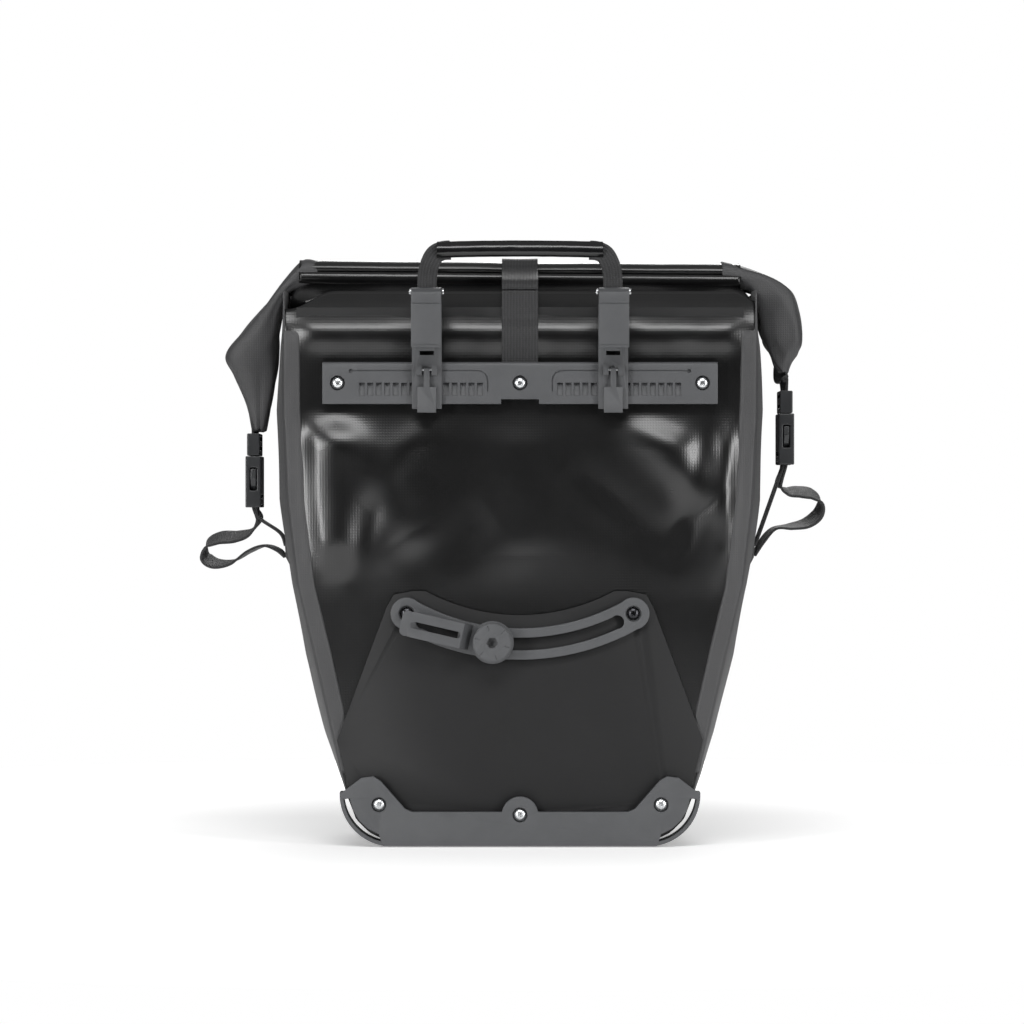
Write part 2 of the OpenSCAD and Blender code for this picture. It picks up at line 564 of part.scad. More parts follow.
clamp_at = on_arc(clamp_deg, arc_r);
module clamp_place() translate([clamp_at[0], 0, clamp_at[1]]) children();
shaft_r = 3;
base_r = knob_d / 2 + 1.4;
base_t = 3;
knob_t = 10.5;
base_y = arc_y - gap;
knob_y = base_y - base_t - 0.2;
module clamp_nut() color("#9a9c9e") clamp_place() difference() {
    union() {
        round_y(0, 0, channel_r - gap, arc_y + 2.9, plate_y - 0.1);
        round_y(0, 0, slot_r - gap, arc_y + 0.1, plate_y - 0.5);
    }
    round_y(0, 0, shaft_r + 0.05, arc_y - 1, plate_y + 1);
}
tongue_w = 17.5;
tongue_t = 3.2;
tongue_y = arc_y - strut_gap - tongue_t;
ramp_x = base_r + 7;
tongue_deg = 13;
module swivel_hook() color("#454648") clamp_place() rotate([0, tongue_deg, 0]) difference() {
    union() {
        round_y(0, 0, base_r, base_y - base_t, base_y);
        difference() {
            along_y(base_y - base_t, base_y) translate([-base_r - 4, -tongue_w / 2]) square([base_r, tongue_w]);
            round_y(0, 0, 5, base_y - base_t - 1, base_y + 1);
        }
        // Ramp out to the tongue
        translate([0, 0, -tongue_w / 2]) linear_extrude(tongue_w) polygon([[-base_r - 0.8, base_y], [-ramp_x + 2, base_y],
            [-ramp_x - 3, tongue_y + tongue_t], [-ramp_x - 3, tongue_y], [-ramp_x + 0.5, tongue_y],
            [-base_r - 0.8, base_y - base_t - 1]]);
        along_y(tongue_y, tongue_y + tongue_t) {
            translate([-tongue_l + 6, -tongue_w / 2]) square([tongue_l - 6 - ramp_x, tongue_w]);
            pill([-tongue_l + 4, -tongue_w / 2 + 4], [-tongue_l + 4, tongue_w / 2 - 4], 4);
        }
    }
    round_y(0, 0, shaft_r + gap, base_y - 20, base_y + 1);
    along_y(tongue_y - 1, tongue_y + tongue_t + 1) pill([-tongue_l + 9, 0], [-ramp_x - 3, 0], 2.3);
}
module clamp_knob() color("#4a4b4d") clamp_place() difference() {
    union() {
        round_y(0, 0, knob_d / 2 - 0.8, knob_y - knob_t, knob_y);
        round_y(0, 0, knob_d / 2, knob_y - knob_t + 0.8, knob_y - 0.8);
        round_y(0, 0, shaft_r, knob_y - 1, plate_y - 0.3);
    }
    round_hex(knob_y - knob_t - 1, knob_y - knob_t + 5);
    for (a = [0:60:300]) rotate([0, a + 15, 0]) translate([knob_d / 2 - 4.6, knob_y - knob_t - 1, -0.35]) cube([3.4, 1.5, 0.7]);
}
module round_hex(y0, y1) translate([0, y1, 0]) rotate([90, 0, 0]) cylinder(r = 4, h = y1 - y0, $fn = 6);

// ---- Corner guard ----

guard_t = 6;
guard_y = plate_y - guard_t;
guard_h = 23.6;
loop_r = corner_r + 6;
loop_t = 2.5;
wing_top = [corner_x + 17, 48];
module guard_flat() {
    half = concat([[corner_x + 6, 0.2], [corner_x + 8, 5]], [for (a = [-72:16.5:-6])
        [corner_x + (corner_r - 1) * cos(a), corner_z + (corner_r - 1) * sin(a)]],
        [[corner_x + loop_r - 0.4, corner_z - 4], [corner_x + loop_r - 0.4, corner_z],
        [wing_top[0] + 4, wing_top[1] - 1], [wing_top[0] - 4, wing_top[1]], [wing_top[0] - 9, wing_top[1] - 3],
        [corner_x - 9, guard_h + 2], [corner_x - 14, guard_h]]);
    polygon(concat(half, mirrored(half)));
    translate([0, guard_bolts[1][1]]) circle(12.5);
}
module corner_loop(side) along_y(guard_y, rear_y + 10) difference() {
    intersection() {
        translate([side * corner_x, loop_r]) difference() {
            circle(loop_r);
            circle(loop_r - loop_t);
        }
        polygon([for (p = [[corner_x, -1], [corner_x + loop_r + 1, -1], [corner_x + loop_r + 1, corner_z + 1], [corner_x, corner_z + 1]])
            [side * p[0], p[1]]]);
    }
    polygon([for (p = [[corner_x - 1, -1], [corner_x + 5, -1], [corner_x + 5, 8], [corner_x - 1, 8]]) [side * p[0], p[1]]]);
}
module corner_guard() color("#4b4c4e") difference() {
    union() {
        along_y(guard_y, plate_y) guard_flat();
        for (s = [-1, 1]) corner_loop(s);
    }
    for (p = guard_bolts) {
        round_y(p[0], p[1], bolt_r + gap, guard_y - 1, plate_y + 1);
        round_y(p[0], p[1], 5.2, guard_y - 1, guard_y + 3.2);
    }
}
module guard_screws() color("#c9cbcd") for (p = guard_bolts) screw(p[0], p[1], guard_y + 0.4, nut_y + 3, 4.4, 2.7);

back_panel();
front_panel();
gusset(-1);  // left_gusset
gusset(1);  // right_gusset
floor_panel();
back_board();
floor_board();
seam_strip(-1);  // left_seam_strip
seam_strip(1);  // right_seam_strip
folded_throat();
top_roll();
roll_batten();
ear(left_fold, -1);  // left_ear
ear(right_fold, 1);  // right_ear
hook_rail();
rail_screws();
rail_nuts();
hook_place(-1) hook();  // left_hook
hook_place(-1) lever();  // left_lever
hook_place(-1) lever_pin();  // left_lever_pin
hook_place(-1) lever_spring();  // left_lever_spring
hook_place(-1) lock_tab();  // left_lock_tab
hook_place(-1) tab_pin();  // left_tab_pin
hook_place(1) hook();  // right_hook
hook_place(1) lever();  // right_lever
hook_place(1) lever_pin();  // right_lever_pin
hook_place(1) lever_spring();  // right_lever_spring
hook_place(1) lock_tab();  // right_lock_tab
hook_place(1) tab_pin();  // right_tab_pin
handle_webbing();
handle_grip();
centre_strap_lower();
centre_strap_upper();
front_strap_anchor();
left_upper_strap();
right_upper_strap();
side_strap(-1, left_mouth_z, left_loop);  // left_side_strap
side_strap(1, right_mouth_z, right_loop);  // right_side_strap
strap_anchor(-1);  // left_strap_anchor
strap_anchor(1);  // right_strap_anchor
left_place() plug();  // left_buckle_plug
left_place() prong(-1);  // left_plug_rear_prong
left_place() prong(1);  // left_plug_front_prong
left_place() socket();  // left_buckle_socket
right_place() plug();  // right_buckle_plug
right_place() prong(-1);  // right_plug_rear_prong
right_place() prong(1);  // right_plug_front_prong
right_place() socket();  // right_buckle_socket
front_place() plug();  // front_buckle_plug
front_place() prong(-1);  // front_plug_left_prong
front_place() prong(1);  // front_plug_right_prong
front_place() socket();  // front_buckle_socket
backing_plate();
arc_rail();
arc_screws();
clamp_nut();
swivel_hook();
clamp_knob();
corner_guard();
guard_screws();
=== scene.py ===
import bpy
import bmesh
import json
import math
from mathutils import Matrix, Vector, noise

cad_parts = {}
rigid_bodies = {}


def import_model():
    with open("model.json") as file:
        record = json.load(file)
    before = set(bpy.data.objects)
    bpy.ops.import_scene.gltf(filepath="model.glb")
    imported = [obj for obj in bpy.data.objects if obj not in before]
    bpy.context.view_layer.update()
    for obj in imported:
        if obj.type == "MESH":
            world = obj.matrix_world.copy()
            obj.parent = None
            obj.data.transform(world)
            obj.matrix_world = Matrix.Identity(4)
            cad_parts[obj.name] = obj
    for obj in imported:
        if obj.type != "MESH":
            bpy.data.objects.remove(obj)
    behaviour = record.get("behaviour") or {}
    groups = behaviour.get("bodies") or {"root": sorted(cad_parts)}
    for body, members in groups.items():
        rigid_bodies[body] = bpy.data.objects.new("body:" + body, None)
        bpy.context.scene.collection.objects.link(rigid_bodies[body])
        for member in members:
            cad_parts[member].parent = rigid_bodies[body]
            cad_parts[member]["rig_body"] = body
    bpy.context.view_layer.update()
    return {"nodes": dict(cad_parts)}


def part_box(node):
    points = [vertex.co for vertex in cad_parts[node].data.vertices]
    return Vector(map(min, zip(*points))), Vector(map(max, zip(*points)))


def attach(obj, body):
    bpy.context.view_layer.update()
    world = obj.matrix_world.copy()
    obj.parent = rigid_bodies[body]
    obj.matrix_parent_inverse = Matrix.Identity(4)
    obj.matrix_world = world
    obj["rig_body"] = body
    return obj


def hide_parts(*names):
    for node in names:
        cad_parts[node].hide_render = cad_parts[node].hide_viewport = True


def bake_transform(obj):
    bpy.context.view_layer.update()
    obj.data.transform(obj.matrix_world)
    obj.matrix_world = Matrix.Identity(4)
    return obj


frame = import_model()
bpy.ops.object.select_all(action='DESELECT')

# ---- Studio ----
# A long lens level with the bag's middle, on the side that hangs on the rack, over a pale floor.
# One large soft light stands overhead, with a strip light at each side that runs down the fabric.
bpy.ops.object.camera_add(location=(-0.0055, -2.67, 0.2298), rotation=(math.radians(90), 0, 0))
camera = bpy.context.object
camera.data.lens = 132.6
camera.data.sensor_width = 36
camera.data.clip_end = 50
bpy.context.scene.camera = camera

world = bpy.data.worlds.new("pale studio")
bpy.context.scene.world = world
world.use_nodes = True
bpy.context.scene.view_settings.view_transform = 'Standard'


def soft_light(name, place, aim, width, height, power):
    bpy.ops.object.light_add(type='AREA', location=place)
    light = bpy.context.object
    light.name = name
    light.data.shape = 'RECTANGLE'
    light.data.size = width
    light.data.size_y = height
    light.data.energy = power
    light.rotation_euler = (Vector(aim) - Vector(place)).to_track_quat('-Z', 'Y').to_euler()


soft_light("overhead softbox", (0, -1.7, 1.9), (0, 0, 0.3), 1.6, 0.7, 27)
soft_light("left strip", (-1.35, -1.6, 0.5), (0, 0, 0.25), 0.3, 1.2, 21)
soft_light("right strip", (1.5, -1.4, 0.5), (0, 0, 0.25), 0.28, 1.2, 19)
soft_light("far side lamp", (0.3, 2.2, 1.4), (0, 0, 0.25), 1.2, 0.8, 16)


def srgb(code):
    parts = [int(code[i:i + 2], 16) / 255 for i in (1, 3, 5)]
    return tuple(c / 12.92 if c <= 0.04045 else ((c + 0.055) / 1.055) ** 2.4 for c in parts) + (1,)


def add_node(tree, kind, settings=None, **links):
    """Adds a node, sets its values and fills its inputs, named or numbered as i0, i1, from values or other nodes."""
    node = tree.nodes.new(kind)
    for key, value in (settings or {}).items():
        setattr(node, key, value)
    for key, value in links.items():
        by_number = key[0] == "i" and key[1:].isdigit()
        socket = node.inputs[int(key[1:]) if by_number else key.replace("_", " ")]
        if isinstance(value, bpy.types.NodeSocket):
            tree.links.new(value, socket)
        else:
            socket.default_value = value
    return node


def new_material(name):
    material = bpy.data.materials.new(name)
    material.use_nodes = True
    tree = material.node_tree
    return material, tree, tree.nodes["Principled BSDF"]


def coat(obj, material):
    obj.data.materials.clear()
    obj.data.materials.append(material)


# The room is white to look at, dim at the camera's height and brighter overhead, so the black coating keeps its depth.
tree = world.node_tree
place = add_node(tree, 'ShaderNodeTexCoord').outputs["Generated"]
height = add_node(tree, 'ShaderNodeSeparateXYZ', Vector=place).outputs["Z"]
overhead = add_node(tree, 'ShaderNodeMapRange', Value=height, From_Min=0.05, From_Max=0.9,
                    To_Min=0.02, To_Max=0.3).outputs[0]
seen = add_node(tree, 'ShaderNodeLightPath').outputs["Is Camera Ray"]
level = add_node(tree, 'ShaderNodeMix', Factor=seen, A=overhead, B=1.0).outputs[0]
tree.nodes["Background"].inputs["Color"].default_value = (1, 1, 1, 1)
tree.links.new(level, tree.nodes["Background"].inputs["Strength"])

# The floor is a sheet of pale card with a painted glow: it emits light, faint round the bag and brighter towards its
# rim, so that it fades into the white room.
paper, tree, shader = new_material("pale card with painted glow")
shader.inputs["Base Color"].default_value = srgb("#f7f7f7")
shader.inputs["Roughness"].default_value = 0.9
place = add_node(tree, 'ShaderNodeTexCoord').outputs["Object"]
away = add_node(tree, 'ShaderNodeVectorMath', {'operation': 'LENGTH'}, i0=place).outputs["Value"]
painted_floor_glow = add_node(tree, 'ShaderNodeMapRange', {'interpolation_type': 'SMOOTHSTEP'}, Value=away,
                 From_Min=0.12, From_Max=0.6, To_Min=0.26, To_Max=0.7).outputs[0]
# Painted glow: the card emits white light, weakest under the bag and strongest at its edge.
shader.inputs["Emission Color"].default_value = (1, 1, 1, 1)
tree.links.new(painted_floor_glow, shader.inputs["Emission Strength"])
bpy.ops.mesh.primitive_circle_add(vertices=96, radius=0.85, fill_type='NGON', location=(0, 0, -0.0006))
floor = bpy.context.object
floor.name = "floor"
coat(floor, paper)

# ---- Rack-side panel ----
# A sheet of woven polyester coated with glossy black PVC, cut to the bag's outline and welded round its edge.
# Its top turns in to the closure, it stands a little proud above the rail, and it is slack below it.
low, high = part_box("back_panel")
rear_y = low[1]
shoulder_z = high[2]
shoulder_half = 0.1635
outline_widths = [(0.0, 0.084), (0.0035, 0.093), (0.009, 0.104), (0.018, 0.113), (0.034, 0.119), (0.048, 0.1225),
                  (0.077, 0.1285), (0.13, 0.1405), (0.18, 0.1525), (0.238, 0.1595), (0.30, 0.1625),
                  (shoulder_z, shoulder_half)]


def between(points, value):
    if value <= points[0][0]:
        return points[0][1]
    for (a, p), (b, q) in zip(points, points[1:]):
        if value <= b:
            return p + (q - p) * (value - a) / (b - a)
    return points[-1][1]


def ease(value):
    value = min(max(value, 0.0), 1.0)
    return value * value * (3 - 2 * value)


# Each soft fold runs from one point of the panel to another, with its width and its height in millimetres
panel_folds = [(-0.134, 0.325, -0.122, 0.18, 19, 5.4), (-0.128, 0.30, -0.075, 0.215, 17, 3.2),
               (-0.06, 0.30, -0.11, 0.235, 12, 2.2), (-0.10, 0.255, -0.118, 0.165, 10, -2.6),
               (0.142, 0.335, 0.145, 0.205, 11, 3.6), (0.076, 0.300, 0.134, 0.238, 17, 5.0),
               (0.135, 0.30, 0.108, 0.20, 11, -2.8), (0.03, 0.26, 0.10, 0.205, 16, -1.8),
               (-0.02, 0.23, -0.08, 0.18, 18, -1.6), (-0.14, 0.18, -0.118, 0.09, 7, 2.4),
               (0.14, 0.20, 0.121, 0.10, 7, 2.2), (0.0, 0.29, 0.0, 0.20, 24, 1.2)]


def fold_height(x, z, folds):
    total = 0.0
    for x0, z0, x1, z1, width, height in folds:
        along = Vector((x1 - x0, z1 - z0))
        t = min(max(Vector((x - x0, z - z0)).dot(along) / along.length_squared, 0.0), 1.0)
        away = math.hypot(x - x0 - t * along.x, z - z0 - t * along.y) * 1000
        total += height * math.exp(-(away / width) ** 2) * ease(1.3 * math.sin(math.pi * (0.12 + 0.76 * t)))
    return total / 1000


def panel_depth(x, z):
    """How far the panel's face stands behind its flat plane."""
    edge = ease((outline_half(z) - abs(x)) / 0.022)
    turn = 0.0150 * max((z - 0.353) / 0.030, 0) ** 2
    pillow = -0.0042 * math.exp(-((z - 0.352) / 0.012) ** 2) * (1 - 0.4 * math.exp(-((abs(x) - 0.064) / 0.02) ** 2))
    slack = ease((0.303 - z) / 0.03) * ease((z - 0.165) / 0.05)
    grain = noise.noise(Vector((x * 14, 3.1, z * 11))) * 0.0014 + noise.noise(Vector((x * 38, 7.7, z * 30))) * 0.0004
    ripple = 0.0008 * noise.noise(Vector((x * 55, 1.0, z * 20))) * ease((z - 0.335) / 0.02)
    loose = slack * (0.0022 + grain + fold_height(x, z, panel_folds))
    return edge * (pillow - max(loose, 0.0) + ripple) + turn


def outline_half(z):
    return between(outline_widths, z)


def plain_grid(name, columns, rows):
    """A flat grid from -1 to 1 in x and y, to be shaped point by point."""
    bpy.ops.mesh.primitive_grid_add(x_subdivisions=columns, y_subdivisions=rows, size=2, location=(0, 0, 0))
    bpy.context.object.name = name
    return bpy.context.object


def mend_normals(merge=None, close=False):
    """Merges the active mesh's doubled points, closes its open ends, and turns all its faces the same way."""
    bpy.ops.object.mode_set(mode='EDIT')
    bpy.ops.mesh.select_all(action='SELECT')
    if merge is not None:
        bpy.ops.mesh.remove_doubles(threshold=merge)
    if close:
        bpy.ops.mesh.select_all(action='DESELECT')
        bpy.ops.mesh.select_non_manifold(extend=False)
        bpy.ops.mesh.fill_holes(sides=0)
        bpy.ops.mesh.select_all(action='SELECT')
    bpy.ops.mesh.normals_make_consistent(inside=False)
    bpy.ops.object.mode_set(mode='OBJECT')


def thicken(sheet, thickness, offset=-1):
    wall = sheet.modifiers.new("wall", 'SOLIDIFY')
    wall.thickness = thickness
    wall.offset = offset
    bpy.ops.object.modifier_apply(modifier="wall")


fabric_t = 0.0012
panel = plain_grid("rack_side_panel", 150, 180)
for v in panel.data.vertices:
    across, z = v.co.x, shoulder_z * (v.co.y + 1) / 2
    x = across * outline_half(z)
    droop = 0.013 * ease((-x - 0.128) / 0.032) * ease((z - 0.34) / 0.04)
    z -= droop + 0.007 * ease((x - 0.148) / 0.014) * ease((z - 0.34) / 0.04)
    v.co = (x, rear_y + panel_depth(x, z) + 0.0004, z)
mend_normals()
if panel.data.polygons[0].normal.y > 0:
    panel.data.flip_normals()
thicken(panel, fabric_t)
bpy.ops.object.shade_smooth()

# Glossy PVC tarpaulin: the smooth coating gives broad clear highlights, broken up by the threads under it.
# The threads are drawn every 1.9 mm, coarser than real ones, so that they show.


def woven_bump(tree, pitch, height, extra=None):
    place = add_node(tree, 'ShaderNodeTexCoord').outputs["Object"]
    waves = []
    for axis in 'XZ':
        threads = add_node(tree, 'ShaderNodeTexWave', {'bands_direction': axis}, Vector=place,
                           Scale=2 * math.pi / 20 / pitch, Distortion=0.4, Detail=1.0, Detail_Scale=3.0)
        waves.append(threads.outputs["Fac"])
    both = add_node(tree, 'ShaderNodeMath', {'operation': 'MULTIPLY'}, i0=waves[0], i1=waves[1]).outputs[0]
    if extra is not None:
        both = add_node(tree, 'ShaderNodeMath', {'operation': 'ADD'}, i0=both, i1=extra).outputs[0]
    return add_node(tree, 'ShaderNodeBump', Strength=height, Distance=0.0004, Height=both).outputs["Normal"]


glossy_pvc, tree, shader = new_material("glossy PVC tarpaulin")
place = add_node(tree, 'ShaderNodeTexCoord').outputs["Object"]
crinkle = add_node(tree, 'ShaderNodeTexNoise', Vector=place, Scale=70.0, Detail=3.0, Roughness=0.55).outputs["Fac"]
cloud = add_node(tree, 'ShaderNodeTexNoise', Vector=place, Scale=16.0, Detail=4.0).outputs["Fac"]
gloss = add_node(tree, 'ShaderNodeMapRange', Value=cloud, To_Min=0.24, To_Max=0.36).outputs[0]
tint = add_node(tree, 'ShaderNodeMix', {'data_type': 'RGBA'}, Factor=cloud,
                i6=srgb("#040404"), i7=srgb("#0a0a0b")).outputs[2]
tree.links.new(tint, shader.inputs["Base Color"])
tree.links.new(gloss, shader.inputs["Roughness"])
tree.links.new(woven_bump(tree, 0.0019, 0.16, crinkle), shader.inputs["Normal"])
shader.inputs["IOR"].default_value = 1.54
shader.inputs["Coat Weight"].default_value = 0.25
shader.inputs["Coat Roughness"].default_value = 0.18
coat(panel, glossy_pvc)
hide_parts("back_panel")
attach(panel, "bag")

# ---- Gussets, front and floor ----
# One wrapped shell of matt coated fabric: two gussets that belly out, a front with round corners and a flat floor.
# The front is unseen, so its folds are a plain guess, and it is drawn in the gussets' matt coating.
front_depths = [(0.0, 0.122), (0.014, 0.14), (0.084, 0.153), (0.19, 0.165), (0.276, 0.165), (0.34, 0.158),
                (shoulder_z, 0.153)]
belly_widths = [(0.0, 0.082), (0.0035, 0.092), (0.009, 0.1035), (0.018, 0.113), (0.034, 0.1205), (0.048, 0.126),
                (0.077, 0.1355), (0.13, 0.149), (0.18, 0.159), (0.238, 0.1675), (0.30, 0.1700), (0.345, 0.1675),
                (shoulder_z, shoulder_half)]
shell_folds = [(-0.05, 0.33, -0.10, 0.22, 18, 3.0), (0.04, 0.30, 0.10, 0.20, 20, 3.2),
               (-0.12, 0.34, -0.125, 0.22, 10, -2.4), (0.12, 0.35, 0.13, 0.20, 10, -2.4),
               (0.0, 0.20, -0.06, 0.10, 22, 2.6), (0.07, 0.17, 0.03, 0.08, 16, -2.2)]
# The share of the grid's rows that makes the floor
floor_share = 0.12


def shell_point(t, z):
    """A point of the wall at height z; t runs from the left rear edge round the front to the right rear edge."""
    half, belly, depth = outline_half(z), between(belly_widths, z), between(front_depths, z)
    side = -1 if t < 0.5 else 1
    s = min(t, 1 - t) / 0.5
    corner = min(0.024, depth * 0.3)
    gusset_end, corner_end = 0.34, 0.44
    if s < gusset_end:
        k = s / gusset_end
        x = half + (belly - half) * math.sin(math.pi * min(k, 0.98) ** 0.8) ** 0.8 + (belly - 0.002 - half) * k * 0.5
        x += 0.0016 * noise.noise(Vector((k * 3 + side, z * 16, 2.0))) * ease(4 * k)
        return Vector((side * x, rear_y + k * (depth - corner), z))
    end_x = half + (belly - 0.002 - half) * 0.5 + (belly - half) * math.sin(math.pi * 0.98) ** 0.8
    if s < corner_end:
        a = (s - gusset_end) / (corner_end - gusset_end) * math.pi / 2
        x = end_x - corner + corner * math.cos(a)
        return Vector((side * x, rear_y + depth - corner + corner * math.sin(a), z))
    k = (s - corner_end) / (1 - corner_end)
    x = (end_x - corner) * (1 - k)
    bulge = 0.005 * math.sin(math.pi / 2 * min(1, k * 1.5)) * ease(z / 0.08) * ease((shoulder_z - z) / 0.05)
    bulge += fold_height(side * x, z, shell_folds) * ease(3 * k) * ease((shoulder_z - z) / 0.03)
    return Vector((side * x, rear_y + depth + bulge - 0.0006, z))


shell = plain_grid("bag_shell", 200, 130)
floor_middle = Vector((0, rear_y + 0.06, 0.0))
for v in shell.data.vertices:
    t, up = (v.co.x + 1) / 2, (v.co.y + 1) / 2
    if up < floor_share:
        rim = shell_point(t, 0.0)
        v.co = floor_middle + (rim - floor_middle) * (0.02 + 0.98 * up / floor_share)
    else:
        v.co = shell_point(t, shoulder_z * ((up - floor_share) / 0.88) ** 1.25)
thicken(shell, fabric_t, 1)
mend_normals()
bpy.ops.object.shade_smooth()

# Matt PVC tarpaulin: a dull coating with a fine emboss, a dark grey beside the glossy panels
matt_pvc, tree, shader = new_material("matt PVC tarpaulin")
place = add_node(tree, 'ShaderNodeTexCoord').outputs["Object"]
cloud = add_node(tree, 'ShaderNodeTexNoise', Vector=place, Scale=22.0, Detail=5.0).outputs["Fac"]
speck = add_node(tree, 'ShaderNodeTexNoise', Vector=place, Scale=900.0, Detail=2.0).outputs["Fac"]
tint = add_node(tree, 'ShaderNodeMix', {'data_type': 'RGBA'}, Factor=cloud,
                i6=srgb("#313132"), i7=srgb("#3d3d3e")).outputs[2]
tree.links.new(tint, shader.inputs["Base Color"])
tree.links.new(woven_bump(tree, 0.0016, 0.22, speck), shader.inputs["Normal"])
shader.inputs["Roughness"].default_value = 0.56
shader.inputs["IOR"].default_value = 1.5
shader.inputs["Sheen Weight"].default_value = 0.08
coat(shell, matt_pvc)
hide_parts("front_panel", "left_gusset", "right_gusset", "floor_panel")
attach(shell, "bag")

# ---- Seam tapes ----
# A strip of matt PVC tape, 11 mm wide, welded over each edge of the rack-side panel where it meets the gusset.
for side, node in ((-1, "left_seam_strip"), (1, "right_seam_strip")):
    tape = plain_grid("seam_tape_" + ("left" if side < 0 else "right"), 10, 150)
    for v in tape.data.vertices:
        u, k = (v.co.x + 1) / 2, (v.co.y + 1) / 2
        z = 0.05 + (0.3725 - 0.05) * k
        width = 0.0118 + 0.0006 * noise.noise(Vector((side, z * 25, 0)))
        x = side * (outline_half(z) + 0.0006 - width * u)
        drop = 0.012 * ease((abs(x) - 0.128) / 0.032) * ease((z - 0.34) / 0.04)
        crown = 0.0009 * (1 - (2 * abs(u - 0.45)) ** 6) + 0.00035 * noise.noise(Vector((u * 2, z * 60, side)))
        v.co = (x, rear_y + panel_depth(x, z) - crown, z - drop)
    mend_normals()
    if tape.data.polygons[0].normal.y > 0:
        tape.data.flip_normals()
    thicken(tape, 0.0008)
    bpy.ops.object.shade_smooth()
    coat(tape, matt_pvc)
    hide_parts(node)
    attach(tape, "bag")

# ---- Throat ----
# The bag's open top is folded flat and drawn in to the roll. It is glossy coated fabric, welded to the panels.
roll_low, roll_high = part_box("top_roll")
roll_middle = (roll_low + roll_high) / 2


def round_ring(t, half_x, half_y, power=0.34):
    a = 2 * math.pi * t
    c, s = math.cos(a), math.sin(a)
    return math.copysign(abs(c) ** power, c) * half_x, math.copysign(abs(s) ** power, s) * half_y


throat = plain_grid("folded_throat_fabric", 220, 26)
front_edge = rear_y + between(front_depths, shoulder_z)
for v in throat.data.vertices:
    t, k = (v.co.x + 1) / 2, (v.co.y + 1) / 2
    outer_x, outer_y = round_ring(t, shoulder_half - 0.0015, (front_edge - rear_y - 0.0125) / 2, 0.2)
    inner_x, inner_y = round_ring(t, 0.1455, 0.016, 0.3)
    outer_y += (front_edge + rear_y + 0.0085) / 2
    inner_y += roll_middle.y
    x, y = outer_x + (inner_x - outer_x) * k, outer_y + (inner_y - outer_y) * k
    corner = ease((abs(outer_x) - 0.13) / 0.03) * (1 if outer_x < 0 else 0.6)
    sag = 0.0035 * math.sin(math.pi * k) + 0.0022 * noise.noise(Vector((x * 22, y * 30, 5.0))) * math.sin(math.pi * k)
    back = 0.0045 if outer_y < 0 else 0.0
    v.co = (x, y + back * (1 - k), 0.3815 - 0.010 * corner * (1 - k) ** 4 + 0.0125 * k ** (0.8 - 0.45 * corner) - sag)
mend_normals(merge=0.00005)
if sum(f.normal.z for f in throat.data.polygons) < 0:
    throat.data.flip_normals()
thicken(throat, 0.001)
bpy.ops.object.shade_smooth()
coat(throat, glossy_pvc)
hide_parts("folded_throat")
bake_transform(throat)

# ---- Rolled closure ----
# The mouth of the bag, rolled round a stiff batten into a flat oval with the loose lip of the last turn showing.
# It is the same glossy tarpaulin, slightly puckered along its length.

def smooth_path(points, k):
    """A point at k from 0 to 1 along a smooth curve through the points."""
    place = min(k, 0.99999) * (len(points) - 1)
    i, f = int(place), place - int(place)
    p = [Vector(points[min(max(j, 0), len(points) - 1)]) for j in (i - 1, i, i + 1, i + 2)]
    return 0.5 * ((2 * p[1]) + (p[2] - p[0]) * f + (2 * p[0] - 5 * p[1] + 4 * p[2] - p[3]) * f * f
                  + (3 * p[1] - p[0] - 3 * p[2] + p[3]) * f ** 3)


roll = plain_grid("rolled_closure", 140, 96)
# The last turn ends in a loose lip on the rack side, part way up, and the turn under it bulges out below
turns = [(-30.2, 397.6), (-30.4, 400.2), (-27.4, 403.6), (-20, 405.5), (-8, 405.8), (6, 405.6), (13.2, 403),
         (15.6, 396), (13.5, 389.3), (6, 386.3), (-8, 385.9), (-22, 386.1), (-29.3, 387.9), (-32.6, 391.4),
         (-32.4, 395.2), (-29.2, 397.4), (-24.5, 398.4)]
for v in roll.data.vertices:
    along, turn = v.co.x, (v.co.y + 1) / 2
    y, z = smooth_path([(a, b, 0) for a, b in turns], turn)[:2]
    x = along * 0.1545
    wander = 0.9 * noise.noise(Vector((x * 14, 0, 2.0))) + 0.35 * noise.noise(Vector((x * 45, turn * 4, 0)))
    y += (y - roll_middle.y * 1000) * 0.018 * wander
    z += (z - roll_middle.z * 1000) * 0.05 * wander - 0.5 * math.exp(-(x / 0.02) ** 2) * ease((z - 396) / 8)
    v.co = (x, y / 1000, z / 1000 - 0.0012 * x / 0.15)
mend_normals()
top_face = max(roll.data.polygons, key=lambda f: f.center.z)
if top_face.normal.z < 0:
    roll.data.flip_normals()
thicken(roll, fabric_t)
bpy.ops.object.shade_smooth()
coat(roll, glossy_pvc)
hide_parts("top_roll")
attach(roll, "roll_closure")

# ---- Folded ends ----
# Each end of the roll is a flat envelope of matt tarpaulin that folds down over the gusset to its strap.
# Stations run from the roll to the strap: the inner edge, the outer edge and half the depth, in millimetres.


